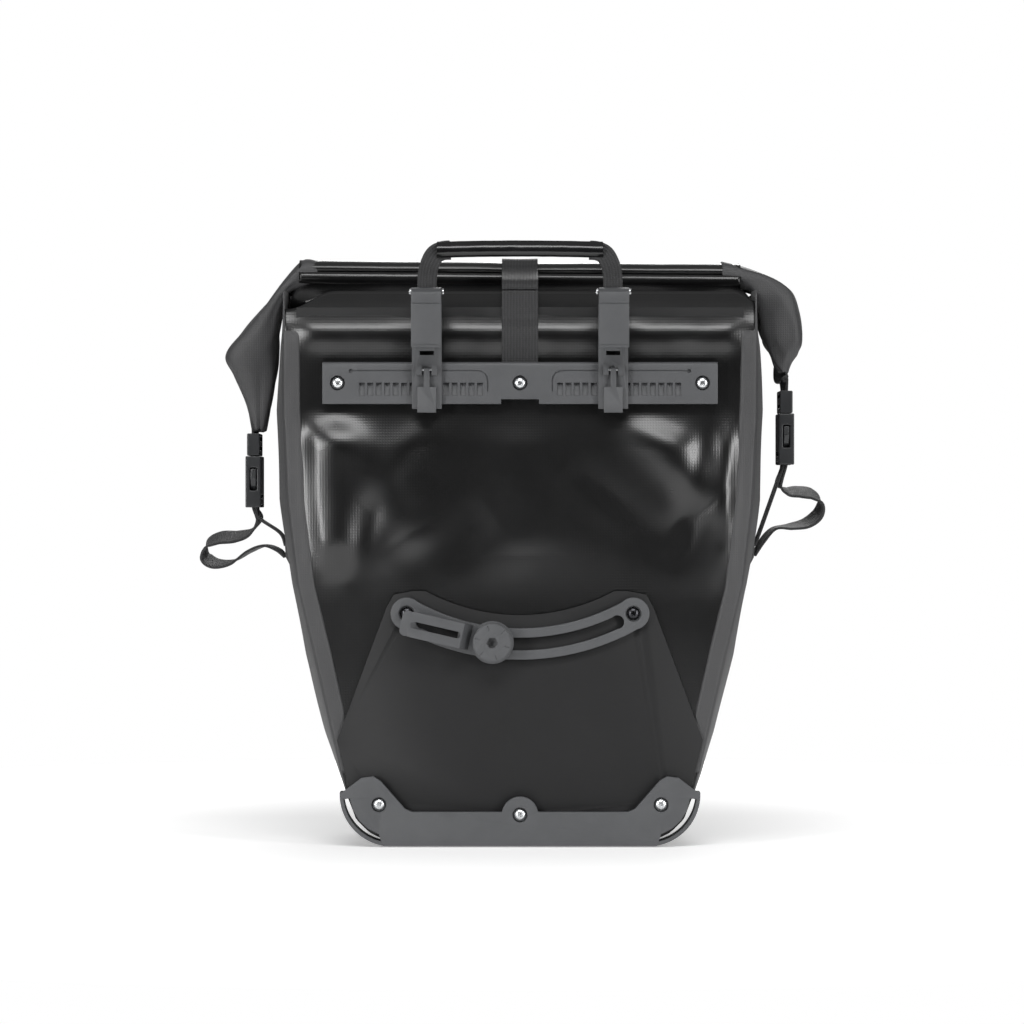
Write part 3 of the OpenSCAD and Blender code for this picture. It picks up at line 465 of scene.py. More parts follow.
left_end = [(-141, 385.5, -141, 406, 23), (-155, 385, -151.5, 406.5, 23.5), (-163.5, 381.5, -164, 393.5, 23.5),
            (-167.5, 371, -178.5, 376.5, 23.5), (-168.8, 358, -193.5, 358.5, 23), (-170.5, 344, -206.5, 340, 22.5),
            (-172.5, 326, -200.5, 325, 19.5), (-176.5, 305, -192.5, 306, 15.5), (-180.5, 287, -188, 286, 12.5)]
right_end = [(141, 385.5, 141, 406, 23), (155, 385.5, 155, 403, 23.5), (163, 383, 175, 396, 23.5),
             (165.5, 376, 191.5, 385, 23.5), (167.5, 366, 196.5, 369, 23), (170, 355, 199, 350, 21.5),
             (174, 346, 195, 341, 18), (178.5, 337, 190.5, 334, 15), (183, 328.5, 188.5, 327, 12.5)]
for stations, side, node in ((left_end, -1, "left_ear"), (right_end, 1, "right_ear")):
    ear = plain_grid(node.replace("ear", "folded_end"), 72, 90)
    for v in ear.data.vertices:
        t, k = (v.co.x + 1) / 2, (v.co.y + 1) / 2
        inner_x, inner_z, outer_x, outer_z, depth = smooth_path(stations, k)
        inner, outer = Vector((inner_x, inner_z)) / 1000, Vector((outer_x, outer_z)) / 1000
        centre, arm = (inner + outer) / 2, (outer - inner) / 2
        a = 2 * math.pi * t
        c, s = math.cos(a), math.sin(a)
        across = math.copysign(abs(c) ** 0.6, c)
        deep = math.copysign(abs(s) ** 0.3, s)
        # A sharp crease runs down the outer face and shallow dents follow the fold
        crease = 1 + 0.10 * math.exp(-((s - 0.25) / 0.13) ** 2) * (1 if c > 0 else -0.5) * math.sin(math.pi * k)
        dent = 0.0024 * noise.noise(Vector((across * 1.6, deep * 2.2 + side, k * 5.0))) * ease(k * 5)
        spot = centre + arm * across * crease
        end = ease(min(k, 1 - k) / 0.012) * 0.5 + 0.5
        y = roll_middle.y + deep * depth / 1000 * end * (1 - 0.06 * abs(c)) + dent * 0.5
        v.co = (centre.x + (spot.x - centre.x) * end + side * dent * abs(c), y,
                centre.y + (spot.y - centre.y) * end + dent * 0.6)
    mend_normals(merge=0.00002, close=True)
    bpy.ops.object.shade_smooth()
    coat(ear, matt_pvc)
    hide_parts(node)
    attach(ear, "roll_closure")

# ---- Hook rail ----
# A moulded bar of glass-filled nylon, bolted through the panel into the back board.
# It has a row of locking slots for each hook, and a fine groove runs round each row.


def softened(node, name, width, segments=2, voxel=None):
    """A copy of a moulded or turned piece with every sharp edge rounded by width, as its mould or tool leaves it."""
    bpy.ops.object.select_all(action='DESELECT')
    copy = bpy.data.objects.new(name, frame["nodes"][node].data.copy())
    bpy.context.scene.collection.objects.link(copy)
    bpy.context.view_layer.objects.active = copy
    copy.select_set(True)
    bpy.ops.object.mode_set(mode='EDIT')
    bpy.ops.mesh.select_all(action='SELECT')
    bpy.ops.mesh.remove_doubles(threshold=0.000002)
    bpy.ops.mesh.customdata_custom_splitnormals_clear()
    bpy.ops.mesh.dissolve_limited(angle_limit=math.radians(0.5))
    bpy.ops.object.mode_set(mode='OBJECT')
    if voxel is not None:
        # A small, many-sided moulding is melted a little instead: remeshed finely, then relaxed
        remesh = copy.modifiers.new("remesh", 'REMESH')
        remesh.mode = 'VOXEL'
        remesh.voxel_size = voxel
        bpy.ops.object.modifier_apply(modifier="remesh")
        relax = copy.modifiers.new("relax", 'SMOOTH')
        relax.factor = 0.6
        relax.iterations = round(width * 7000)
        bpy.ops.object.modifier_apply(modifier="relax")
        bpy.ops.object.shade_smooth()
        return copy
    round_over = copy.modifiers.new("round over", 'BEVEL')
    round_over.width = width
    round_over.segments = segments
    round_over.limit_method = 'ANGLE'
    round_over.angle_limit = math.radians(32)
    round_over.miter_outer = 'MITER_ARC'
    bpy.ops.object.modifier_apply(modifier="round over")
    bpy.ops.object.shade_smooth_by_angle(angle=math.radians(40))
    return copy


# Glass-filled nylon from a spark-eroded mould: a dark grey with an even fine grain and a soft satin shine.
# The grain is drawn 0.6 mm across, about three times the real one, so that it shows.
nylon, tree, shader = new_material("moulded nylon")
place = add_node(tree, 'ShaderNodeTexCoord').outputs["Object"]
grain = add_node(tree, 'ShaderNodeTexVoronoi', {'feature': 'SMOOTH_F1'}, Vector=place,
                 Scale=1600.0, Smoothness=0.6).outputs["Distance"]
cloud = add_node(tree, 'ShaderNodeTexNoise', Vector=place, Scale=60.0, Detail=4.0, Roughness=0.6).outputs["Fac"]
tint = add_node(tree, 'ShaderNodeMix', {'data_type': 'RGBA'}, Factor=cloud,
                i6=srgb("#3e3f41"), i7=srgb("#4b4c4e")).outputs[2]
gloss = add_node(tree, 'ShaderNodeMapRange', Value=cloud, To_Min=0.46, To_Max=0.58).outputs[0]
tree.links.new(tint, shader.inputs["Base Color"])
tree.links.new(gloss, shader.inputs["Roughness"])
bump = add_node(tree, 'ShaderNodeBump', Strength=0.35, Distance=0.0002, Height=grain).outputs["Normal"]
tree.links.new(bump, shader.inputs["Normal"])
shader.inputs["IOR"].default_value = 1.53

rail_low, rail_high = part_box("hook_rail")
rail_middle = (rail_low + rail_high) / 2
bolt_z = rail_middle.z
bolt_x = 0.1255
slot_start, slot_pitch, slot_width, slot_height, slot_count = 0.0275, 0.0058, 0.0037, 0.0086, 15
flange, lip = 0.003, 0.0033


def plain_block(low, high):
    """A block between two corners, as a cutter or the start of a piece."""
    low, high = Vector(low), Vector(high)
    bpy.ops.mesh.primitive_cube_add(size=1, location=(low + high) / 2, scale=high - low)
    bpy.ops.object.transform_apply(location=True, rotation=True, scale=True)
    return bpy.context.object


def cut_away(piece, cutter, operation='DIFFERENCE'):
    bpy.ops.object.select_all(action='DESELECT')
    bpy.context.view_layer.objects.active = piece
    piece.select_set(True)
    cut = piece.modifiers.new("cut", 'BOOLEAN')
    cut.operation = operation
    cut.object = cutter
    bpy.ops.object.modifier_apply(modifier="cut")
    bpy.data.objects.remove(cutter)


# The flange is a full-height plate with a long chamfer on its upper front edge; a narrower block stands behind it
rail = plain_block(rail_low, (rail_high.x, rail_low.y + flange, rail_high.z))
bpy.ops.object.mode_set(mode='EDIT')
bpy.ops.mesh.select_all(action='DESELECT')
mesh = bmesh.from_edit_mesh(rail.data)
for edge in mesh.edges:
    middle = (edge.verts[0].co + edge.verts[1].co) / 2
    edge.select = middle.y < rail_low.y + 0.0001 and middle.z > rail_high.z - 0.0001
mesh.select_flush_mode()
bmesh.update_edit_mesh(rail.data)
bpy.ops.mesh.bevel(offset=0.0024, segments=3)
bpy.ops.object.mode_set(mode='OBJECT')
round_over = rail.modifiers.new("round over", 'BEVEL')
round_over.width = 0.0007
round_over.segments = 3
round_over.limit_method = 'ANGLE'
round_over.angle_limit = math.radians(50)
bpy.ops.object.modifier_apply(modifier="round over")
behind = plain_block((rail_low.x, rail_low.y + 0.0012, rail_low.z + lip), (rail_high.x, rail_high.y, rail_high.z - lip))
cut_away(rail, behind, 'UNION')

cutters = []
for side in (-1, 1):
    for k in range(slot_count):
        x = side * (slot_start + slot_pitch * k)
        slot = plain_block((x - slot_width / 2, rail_low.y - 0.001, bolt_z - slot_height),
                           (x + slot_width / 2, rail_low.y + 0.0026, bolt_z))
        # The floor of a slot rises to the face at its lower end, and its mouth flares a little
        for v in slot.data.vertices:
            if v.co.y > rail_low.y and v.co.z < bolt_z - 0.001:
                v.co.y = rail_low.y + 0.0007
            if v.co.y < rail_low.y:
                v.co.x += math.copysign(0.0003, v.co.x - x)
                v.co.z += 0.0003 if v.co.z > bolt_z - 0.001 else -0.0003
        cutters.append(slot)
    # A fine groove starts at a dimple near the end screw, runs inwards along the top and turns down
    path = [(0.1155, 0.0083), (0.110, 0.0085), (0.032, 0.0085), (0.0275, 0.0082), (0.0245, 0.0068), (0.0228, 0.0045),
            (0.0222, 0.0015), (0.0222, -0.0055)]
    for (x0, z0), (x1, z1) in zip(path, path[1:]):
        bpy.ops.mesh.primitive_cube_add(size=1, location=(side * (x0 + x1) / 2, rail_low.y, bolt_z + (z0 + z1) / 2),
                                        rotation=(0, -math.atan2(z1 - z0, side * (x1 - x0)), 0),
                                        scale=(math.hypot(x1 - x0, z1 - z0) + 0.0007, 0.0016, 0.0009))
        cutters.append(bpy.context.object)
    bpy.ops.mesh.primitive_cylinder_add(vertices=20, radius=0.0014, depth=0.003, rotation=(math.radians(90), 0, 0),
                                        location=(side * 0.1162, rail_low.y, bolt_z + 0.0083))
    cutters.append(bpy.context.object)
for x in (-bolt_x, 0, bolt_x):
    for radius, reach in ((0.0052, 0.0034), (0.0027, 0.012)):
        bpy.ops.mesh.primitive_cylinder_add(vertices=48, radius=radius, depth=reach + 0.002,
                                            rotation=(math.radians(90), 0, 0),
                                            location=(x, rail_low.y + (reach - 0.002) / 2, bolt_z))
        cutters.append(bpy.context.object)
strap_room = 0.013
cutters.append(plain_block((-strap_room, rail_high.y - 0.0021, bolt_z + 0.0054),
                           (strap_room, rail_high.y + 0.001, rail_high.z + 0.002)))
cutters.append(plain_block((-strap_room, rail_low.y - 0.001, rail_low.z - 0.001),
                           (strap_room, rail_high.y + 0.001, rail_low.z + 0.0034)))
# The round recesses and the strap's room are cut before the slots and grooves
for cutter in reversed(cutters):
    cut_away(rail, cutter)
rail.name = "hook_rail_bar"
bpy.ops.object.shade_smooth_by_angle(angle=math.radians(38))
coat(rail, nylon)
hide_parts("hook_rail")
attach(rail, "bag")

# ---- Rack hooks ----
# Two moulded nylon hooks clamp on the rail. Each has a catch lever that swings on a steel pin inside its crown.
# A small locking tab on the front holds the hook in one slot of the rail.
for side in ("left", "right"):
    for node, width in (("hook", 0.0006), ("lever", 0.0003), ("lock_tab", 0.0003)):
        piece = softened(side + "_" + node, side + "_" + node + "_moulding", width)
        coat(piece, nylon)
        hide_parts(side + "_" + node)
        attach(piece, side + "_" + node)

# Stainless steel, cold headed and tumbled: a clear grey metal with a soft shine and faint marks
stainless, tree, shader = new_material("stainless steel")
place = add_node(tree, 'ShaderNodeTexCoord').outputs["Object"]
marks = add_node(tree, 'ShaderNodeTexNoise', Vector=place, Scale=420.0, Detail=3.0).outputs["Fac"]
gloss = add_node(tree, 'ShaderNodeMapRange', Value=marks, To_Min=0.22, To_Max=0.36).outputs[0]
tint = add_node(tree, 'ShaderNodeMix', {'data_type': 'RGBA'}, Factor=marks,
                i6=srgb("#c3c5c7"), i7=srgb("#dfe0e1")).outputs[2]
tree.links.new(tint, shader.inputs["Base Color"])
tree.links.new(gloss, shader.inputs["Roughness"])
bump = add_node(tree, 'ShaderNodeBump', Strength=0.15, Distance=0.0001, Height=marks).outputs["Normal"]
tree.links.new(bump, shader.inputs["Normal"])
shader.inputs["Metallic"].default_value = 1.0

for side in ("left", "right"):
    for node in ("lever_pin", "tab_pin"):
        piece = softened(side + "_" + node, side + "_" + node + "_turned", 0.0002)
        coat(piece, stainless)
        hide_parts(side + "_" + node)
        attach(piece, frame["nodes"][side + "_" + node]["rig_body"])
    # The spring that closes the lever: six turns of wire round the pin
    spring_low, spring_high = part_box(side + "_lever_spring")
    middle = (spring_low + spring_high) / 2
    outer = (spring_high.z - spring_low.z) / 2
    wire = 0.0003
    spring = plain_grid(side + "_lever_spring_coil", 8, 144)
    for v in spring.data.vertices:
        a, k = math.pi * (v.co.x + 1), (v.co.y + 1) / 2
        turn, out = 12 * math.pi * k, outer - wire + wire * math.cos(a)
        x = spring_low.x + 0.0004 + (spring_high.x - spring_low.x - 0.0008) * k + wire * math.sin(a)
        v.co = (x, middle.y + out * math.cos(turn), middle.z + out * math.sin(turn))
    mend_normals(merge=0.00001, close=True)
    bpy.ops.object.shade_smooth_by_angle(angle=math.radians(50))
    coat(spring, stainless)
    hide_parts(side + "_lever_spring")
    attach(spring, frame["nodes"][side + "_lever_spring"]["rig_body"])

# ---- Screws and nuts ----
# Pan-head machine screws with a domed head and a cross recess go through the panel and board into plain nuts.
# The rail's and the guard's are stainless; the two in the arc rail are blackened.
black_steel, tree, shader = new_material("blackened steel")
place = add_node(tree, 'ShaderNodeTexCoord').outputs["Object"]
marks = add_node(tree, 'ShaderNodeTexNoise', Vector=place, Scale=380.0, Detail=3.0).outputs["Fac"]
gloss = add_node(tree, 'ShaderNodeMapRange', Value=marks, To_Min=0.2, To_Max=0.34).outputs[0]
tint = add_node(tree, 'ShaderNodeMix', {'data_type': 'RGBA'}, Factor=marks,
                i6=srgb("#28282a"), i7=srgb("#47474a")).outputs[2]
tree.links.new(tint, shader.inputs["Base Color"])
tree.links.new(gloss, shader.inputs["Roughness"])
shader.inputs["Metallic"].default_value = 1.0

rail_screw_low, rail_screw_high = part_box("rail_screws")
head_r = (rail_screw_high.z - rail_screw_low.z) / 2
rail_z = (rail_screw_low.z + rail_screw_high.z) / 2
rail_x = rail_screw_high.x - head_r
guard_low, guard_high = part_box("guard_screws")
arc_low, arc_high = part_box("arc_screws")
screw_sets = (("rail_screws", [(-rail_x, rail_z), (0, rail_z), (rail_x, rail_z)], stainless, "screw_steel"),
              ("guard_screws", [(guard_low.x + head_r, guard_high.z - head_r), (0, guard_low.z + head_r),
                                (guard_high.x - head_r, guard_high.z - head_r)], stainless, "screw_steel"),
              ("arc_screws", [(arc_low.x + head_r, arc_low.z + head_r), (arc_high.x - head_r, arc_low.z + head_r)],
               black_steel, "black_steel"))
# The profile's shares end at the dome's rim, the rim's side, under the head and the end of the shank
dome_end, rim_end, under_end, shank_end = 0.6, 0.72, 0.82, 0.97
shank_r, head_t = 0.0024, 0.0027
for node, places, metal, slot in screw_sets:
    low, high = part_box(node)
    parts = []
    for number, (x, z) in enumerate(places):
        screw = plain_grid("screw", 72, 46)
        turned = math.radians(17 + 31 * number)
        for v in screw.data.vertices:
            a, k = math.pi * (v.co.x + 1), (v.co.y + 1) / 2
            # The profile runs from the dome's middle over its rim, under the head and down the shank to its flat end
            if k < dome_end:
                r = head_r * k / dome_end
                y = low.y + 0.0002 + 0.0017 * (r / head_r) ** 2.4
                across, along = r * math.cos(a + turned), r * math.sin(a + turned)
                arm = min(abs(across), abs(along))
                reach = max(abs(across), abs(along))
                y += 0.0011 * ease((0.0005 - arm) / 0.00025) * ease((0.0019 - reach) / 0.0008)
            elif k < rim_end:
                r, y = head_r, low.y + 0.0019 + 0.0008 * (k - dome_end) / 0.12
            elif k < under_end:
                r, y = head_r - (head_r - shank_r) * (k - rim_end) / 0.1, low.y + head_t
            elif k < shank_end:
                r, y = shank_r, low.y + head_t + (high.y - low.y - 0.0029) * (k - under_end) / 0.15
            else:
                r, y = shank_r * (1 - k) / 0.03, high.y - 0.0001
            v.co = (x + r * math.cos(a), y, z + r * math.sin(a))
        mend_normals(merge=0.000008)
        parts.append(screw)
    for screw in parts:
        screw.select_set(True)
    bpy.ops.object.join()
    screws = bpy.context.object
    screws.name = node + "_set"
    bpy.ops.object.shade_smooth_by_angle(angle=math.radians(42))
    coat(screws, metal)
    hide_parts(node)
    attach(screws, "bag")

nuts = softened("rail_nuts", "nut_set", 0.0002)
coat(nuts, stainless)
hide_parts("rail_nuts")
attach(nuts, "bag")

# ---- Boards and batten ----
# Sheets of black polyethylene, cut to shape, stiffen the rack side, the floor and the roll from inside.
# Sheet polyethylene has a waxy shine and fine scratches from the saw bench.
polyethylene, tree, shader = new_material("polyethylene sheet")
place = add_node(tree, 'ShaderNodeTexCoord').outputs["Object"]
stretched = add_node(tree, 'ShaderNodeMapping', Vector=place, Scale=(14.0, 60.0, 260.0)).outputs["Vector"]
scratch = add_node(tree, 'ShaderNodeTexNoise', Vector=stretched, Scale=6.0, Detail=5.0).outputs["Fac"]
cloud = add_node(tree, 'ShaderNodeTexNoise', Vector=place, Scale=30.0, Detail=3.0).outputs["Fac"]
tint = add_node(tree, 'ShaderNodeMix', {'data_type': 'RGBA'}, Factor=cloud,
                i6=srgb("#0c0c0d"), i7=srgb("#121213")).outputs[2]
gloss = add_node(tree, 'ShaderNodeMapRange', Value=scratch, To_Min=0.5, To_Max=0.62).outputs[0]
tree.links.new(tint, shader.inputs["Base Color"])
tree.links.new(gloss, shader.inputs["Roughness"])
bump = add_node(tree, 'ShaderNodeBump', Strength=0.12, Distance=0.0001, Height=scratch).outputs["Normal"]
tree.links.new(bump, shader.inputs["Normal"])
shader.inputs["IOR"].default_value = 1.54
shader.inputs["Specular IOR Level"].default_value = 0.32
for node, body in (("back_board", "bag"), ("floor_board", "bag"), ("roll_batten", "roll_closure")):
    board = softened(node, node + "_sheet", 0.0003)
    coat(board, polyethylene)
    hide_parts(node)
    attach(board, body)

# ---- Rack stabiliser ----
# A satin sheet of the same plastic backs the lower panel. A moulded arc rail is screwed on it.
# A hook for the rack's strut slides and swivels on the arc and is held by a knurled knob with a hex recess.
plate = softened("backing_plate", "backing_sheet", 0.0005)
coat(plate, polyethylene)
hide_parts("backing_plate")
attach(plate, "bag")

for node, width, segments, body in (("arc_rail", 0.0011, 3, "bag"), ("swivel_hook", 0.0007, 3, "swivel_hook"),
                                    ("clamp_knob", 0.0005, 2, "clamp_knob")):
    piece = softened(node, node + "_moulding", width, segments)
    coat(piece, nylon)
    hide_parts(node)
    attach(piece, body)
nut = softened("clamp_nut", "clamp_nut_plate", 0.0002)
coat(nut, black_steel)
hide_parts("clamp_nut")
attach(nut, "clamp_nut")

# ---- Corner guard ----
# A thick nylon moulding wraps the bottom edge and stands off the two lower corners in a bumper loop.
# Its top edge is rounded and three screws hold it.
guard = softened("corner_guard", "corner_guard_moulding", 0.0011, 3)
coat(guard, nylon)
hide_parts("corner_guard")
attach(guard, "bag")

# ---- Webbing straps ----
# Black polypropylene webbing, 25 mm wide. The centre strap runs from behind the rail over the roll to the front buckle.
# Shorter straps hang the side buckles from the roll's ends, and a pull loop goes back to a patch on each gusset.


def webbing_band(name, points, across, width, thickness=0.0016, rings=120):
    """A band of webbing along points in millimetres; across gives the direction of its width at each point."""
    band = plain_grid(name, 8, rings)
    centres = [smooth_path(points, k / 400) / 1000 for k in range(401)]
    lengths = [0.0]
    for a, b in zip(centres, centres[1:]):
        lengths.append(lengths[-1] + (b - a).length)
    along = []
    for v in band.data.vertices:
        u, k = v.co.x, (v.co.y + 1) / 2
        i = min(int(k * 400), 399)
        heading = (centres[i + 1] - centres[i]).normalized()
        wide = smooth_path(across, k)
        wide = (wide - heading * wide.dot(heading)).normalized()
        v.co = smooth_path(points, k) / 1000 + wide * u * width / 2 + heading.cross(wide) * 0.0003 * (1 - u * u)
        along.append((u * width / 2, lengths[i] + (lengths[i + 1] - lengths[i]) * (k * 400 - i)))
    uv = band.data.uv_layers.active.data
    for loop in band.data.loops:
        uv[loop.index].uv = along[loop.vertex_index]
    thicken(band, thickness, 0)
    edge = band.modifiers.new("selvedge", 'BEVEL')
    edge.width = thickness * 0.3
    edge.segments = 2
    edge.angle_limit = math.radians(60)
    bpy.ops.object.modifier_apply(modifier="selvedge")
    mend_normals()
    bpy.ops.object.shade_smooth_by_angle(angle=math.radians(50))
    return band


# Woven polypropylene: raised ribs run along the strap every 2.1 mm, crossed by picks every 1.3 mm, with a soft shine
polypropylene, tree, shader = new_material("woven polypropylene webbing")
strip = add_node(tree, 'ShaderNodeUVMap').outputs["UV"]
ribs = add_node(tree, 'ShaderNodeTexWave', {'bands_direction': 'X'}, Vector=strip,
                Scale=2 * math.pi / 20 / 0.0021, Distortion=0.2, Detail=1.0).outputs["Fac"]
picks = add_node(tree, 'ShaderNodeTexWave', {'bands_direction': 'Y'}, Vector=strip,
                 Scale=2 * math.pi / 20 / 0.0013, Distortion=0.3, Detail=1.0).outputs["Fac"]
fibres = add_node(tree, 'ShaderNodeTexNoise', Vector=strip, Scale=1800.0, Detail=2.0).outputs["Fac"]
cloth = add_node(tree, 'ShaderNodeMath', {'operation': 'MULTIPLY_ADD'}, i0=picks, i1=0.45, i2=ribs).outputs[0]
cloth = add_node(tree, 'ShaderNodeMath', {'operation': 'MULTIPLY_ADD'}, i0=fibres, i1=0.35, i2=cloth).outputs[0]
# The colour follows the weave's height: painted shade in the grooves between ribs and picks, and painted light on their
# crests, with a random tone from the fibres.
painted_weave_shade_and_fibre_tone = add_node(tree, 'ShaderNodeMapRange', Value=cloth, From_Min=0.3, From_Max=1.5, To_Min=0.0, To_Max=1.0).outputs[0]
tint = add_node(tree, 'ShaderNodeMix', {'data_type': 'RGBA'}, Factor=painted_weave_shade_and_fibre_tone,
                i6=srgb("#0b0b0c"), i7=srgb("#222224")).outputs[2]
tree.links.new(tint, shader.inputs["Base Color"])
bump = add_node(tree, 'ShaderNodeBump', Strength=0.5, Distance=0.0004, Height=cloth).outputs["Normal"]
tree.links.new(bump, shader.inputs["Normal"])
shader.inputs["Roughness"].default_value = 0.62
shader.inputs["IOR"].default_value = 1.49
shader.inputs["Sheen Weight"].default_value = 0.12


def fit_strap(band, node, body):
    coat(band, polypropylene)
    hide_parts(node)
    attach(band, body)


strap_w, loop_w = 0.025, 0.0245
wide_x = [(1, 0, 0)] * 2
strap_low, strap_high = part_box("centre_strap_lower")
strap_y = (strap_low.y + strap_high.y) / 2 * 1000
heights = [strap_low.z * 1000 + (strap_high.z - strap_low.z) * 1000 * k / 9 for k in range(10)]
lower_points = [(0, min(strap_y, (rear_y + panel_depth(0, z / 1000)) * 1000 - 1.1), z) for z in heights]
fit_strap(webbing_band("centre_strap_rack_side", lower_points, wide_x, strap_w), "centre_strap_lower", "bag")

over_low, over_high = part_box("centre_strap_upper")
plug_low, plug_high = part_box("front_buckle_plug")
plug_y = (plug_low.y + plug_high.y) / 2 * 1000
upper_points = [(0, rear_y * 1000 + 0.6, 383.2), (0, rear_y * 1000 + 0.8, 386.4), (0, -64.5, 390.2), (0, -48, 394.5),
                (0, -36.5, 398.8), (0, -31, 402.8), (0, -25.5, 406.2), (0, -17, 407.2), (0, -4, 407.2), (0, 8, 406.9),
                (0, 14, 403.6), (0, 18, 397.6), (0, 26, 392.2), (0, 50, 389.2), (0, 77, 387), (0, 84.5, 385.2),
                (0, 87.4, 379.5), (0, 90.2, 355), (0, 93.6, 333), (0, plug_y - 2.5, 323.5),
                (0, plug_y, plug_high.z * 1000 - 6)]
over_roll = webbing_band("centre_strap_over_roll", upper_points, wide_x, strap_w, rings=220)
fit_strap(over_roll, "centre_strap_upper", "roll_closure")

anchor_low, anchor_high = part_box("front_strap_anchor")
anchor_points = [(0, plug_y, anchor_high.z * 1000 + 5), (0, plug_y, anchor_high.z * 1000 - 3),
                 (0, anchor_low.y * 1000 + 2.2, anchor_high.z * 1000 - 20),
                 (0, anchor_low.y * 1000 + 1.0, anchor_low.z * 1000)]
fit_strap(webbing_band("front_strap_base", anchor_points, wide_x, strap_w), "front_strap_anchor", "bag")

wide_y = [(0, 1, 0)] * 2
# Each slack loop, in millimetres out from the gusset's edge and up from loop_z
loop_z = 203
left_loop = [(22, 22), (28, 13), (38, 9.5), (50, 8.5), (58.5, 4), (60, -4.5), (53, -9.5), (41, -8.5), (29, -1),
             (18, 3), (8.5, 0), (3.5, -5)]
right_loop = [(21, 47), (26.5, 41.5), (35, 41), (44, 39.5), (50, 34), (48.5, 25.5), (40.5, 19), (29, 16.5),
              (17.5, 15), (9, 6), (3.5, -4)]
for side, sign in (("left", -1), ("right", 1)):
    low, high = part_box(side + "_buckle_plug")
    socket_low, socket_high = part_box(side + "_buckle_socket")
    patch_low, patch_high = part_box(side + "_strap_anchor")
    x, y = (low.x + high.x) / 2 * 1000, (low.y + high.y) / 2 * 1000
    strap_low, strap_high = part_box(side + "_upper_strap")
    # The upper strap comes out of the folded end and twists a little on its way down to the buckle
    top_x = x - sign * 4
    points = [(top_x, y, strap_high.z * 1000 + 6), (top_x + sign * 1.5, y, strap_high.z * 1000 - 3),
              (x - sign * 0.6, y, (strap_high.z + strap_low.z) * 500), (x, y, low.z * 1000 + 9)]
    twist = [(-0.20 * sign, 1, 0.0), (-0.32 * sign, 1, 0.0), (-0.12 * sign, 1, 0), (0, 1, 0)]
    band = webbing_band(side + "_end_strap", points, twist, strap_w)
    fit_strap(band, side + "_upper_strap", "roll_closure")

    # The lower strap: up from the patch, round the ladder bar, and out in a slack loop that is sewn back to the patch
    tail_z = socket_low.z * 1000
    foot_x = (patch_low.x + patch_high.x) / 2 * 1000 + sign * 1.8
    foot_z = (patch_low.z + patch_high.z) * 500 + 3
    loop = left_loop if sign < 0 else right_loop
    edge_x = sign * (abs(foot_x) - 2.4)
    points = [(x, y, tail_z + 9), (x + sign * 0.4, y, tail_z + 1)]
    points += [(edge_x + sign * out, y, loop_z + up) for out, up in loop]
    lean = [(-0.1 * sign, 1, 0.36 * math.sin(math.pi * min((k + 1) / 9, 1))) for k in range(len(loop) - 1)]
    lean = [(0, 1, 0), (0, 1, 0.06)] + lean + [(0, 1, 0)]
    band = webbing_band(side + "_pull_loop", points, lean, loop_w, rings=260)
    riser_points = [(x - sign * 1.4, y, tail_z + 9), (x - sign * 1.8, y, tail_z - 1), (x - sign * 4, y, tail_z - 8),
                    (edge_x + sign * 7, y, foot_z + 11), (edge_x + sign * 3.2, y, foot_z + 2)]
    riser = webbing_band(side + "_pull_riser", riser_points, wide_y, loop_w)
    coat(riser, polypropylene)
    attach(riser, "bag")
    fit_strap(band, side + "_side_strap", "bag")

    # A patch of matt tarpaulin, folded over the strap's ends and welded to the gusset
    patch = softened(side + "_strap_anchor", side + "_strap_patch", 0.0009, 3)
    coat(patch, matt_pvc)
    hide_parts(side + "_strap_anchor")
    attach(patch, "bag")

# ---- Buckles ----
# Side-release buckles moulded in acetal. The plug's two prongs spring in to leave the socket.
# Acetal is a little waxy: a near-black with a soft clear shine and a very fine mould grain.
acetal, tree, shader = new_material("moulded acetal")
place = add_node(tree, 'ShaderNodeTexCoord').outputs["Object"]
grain = add_node(tree, 'ShaderNodeTexNoise', Vector=place, Scale=1500.0, Detail=2.0).outputs["Fac"]
cloud = add_node(tree, 'ShaderNodeTexNoise', Vector=place, Scale=90.0, Detail=3.0).outputs["Fac"]
tint = add_node(tree, 'ShaderNodeMix', {'data_type': 'RGBA'}, Factor=cloud,
                i6=srgb("#242526"), i7=srgb("#303133")).outputs[2]
gloss = add_node(tree, 'ShaderNodeMapRange', Value=cloud, To_Min=0.3, To_Max=0.42).outputs[0]
tree.links.new(tint, shader.inputs["Base Color"])
tree.links.new(gloss, shader.inputs["Roughness"])
bump = add_node(tree, 'ShaderNodeBump', Strength=0.2, Distance=0.0001, Height=grain).outputs["Normal"]
tree.links.new(bump, shader.inputs["Normal"])
shader.inputs["IOR"].default_value = 1.48
for side, prongs in (("left", ("rear", "front")), ("right", ("rear", "front")), ("front", ("left", "right"))):
    for node, width, segments in [(side + "_buckle_plug", 0.0013, 3), (side + "_buckle_socket", 0.0013, 3)] + [
            (side + "_plug_" + end + "_prong", 0.0006, 2) for end in prongs]:
        piece = softened(node, node + "_moulding", width, segments, voxel=0.00042)
        coat(piece, acetal)
        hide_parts(node)
        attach(piece, frame["nodes"][node]["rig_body"])

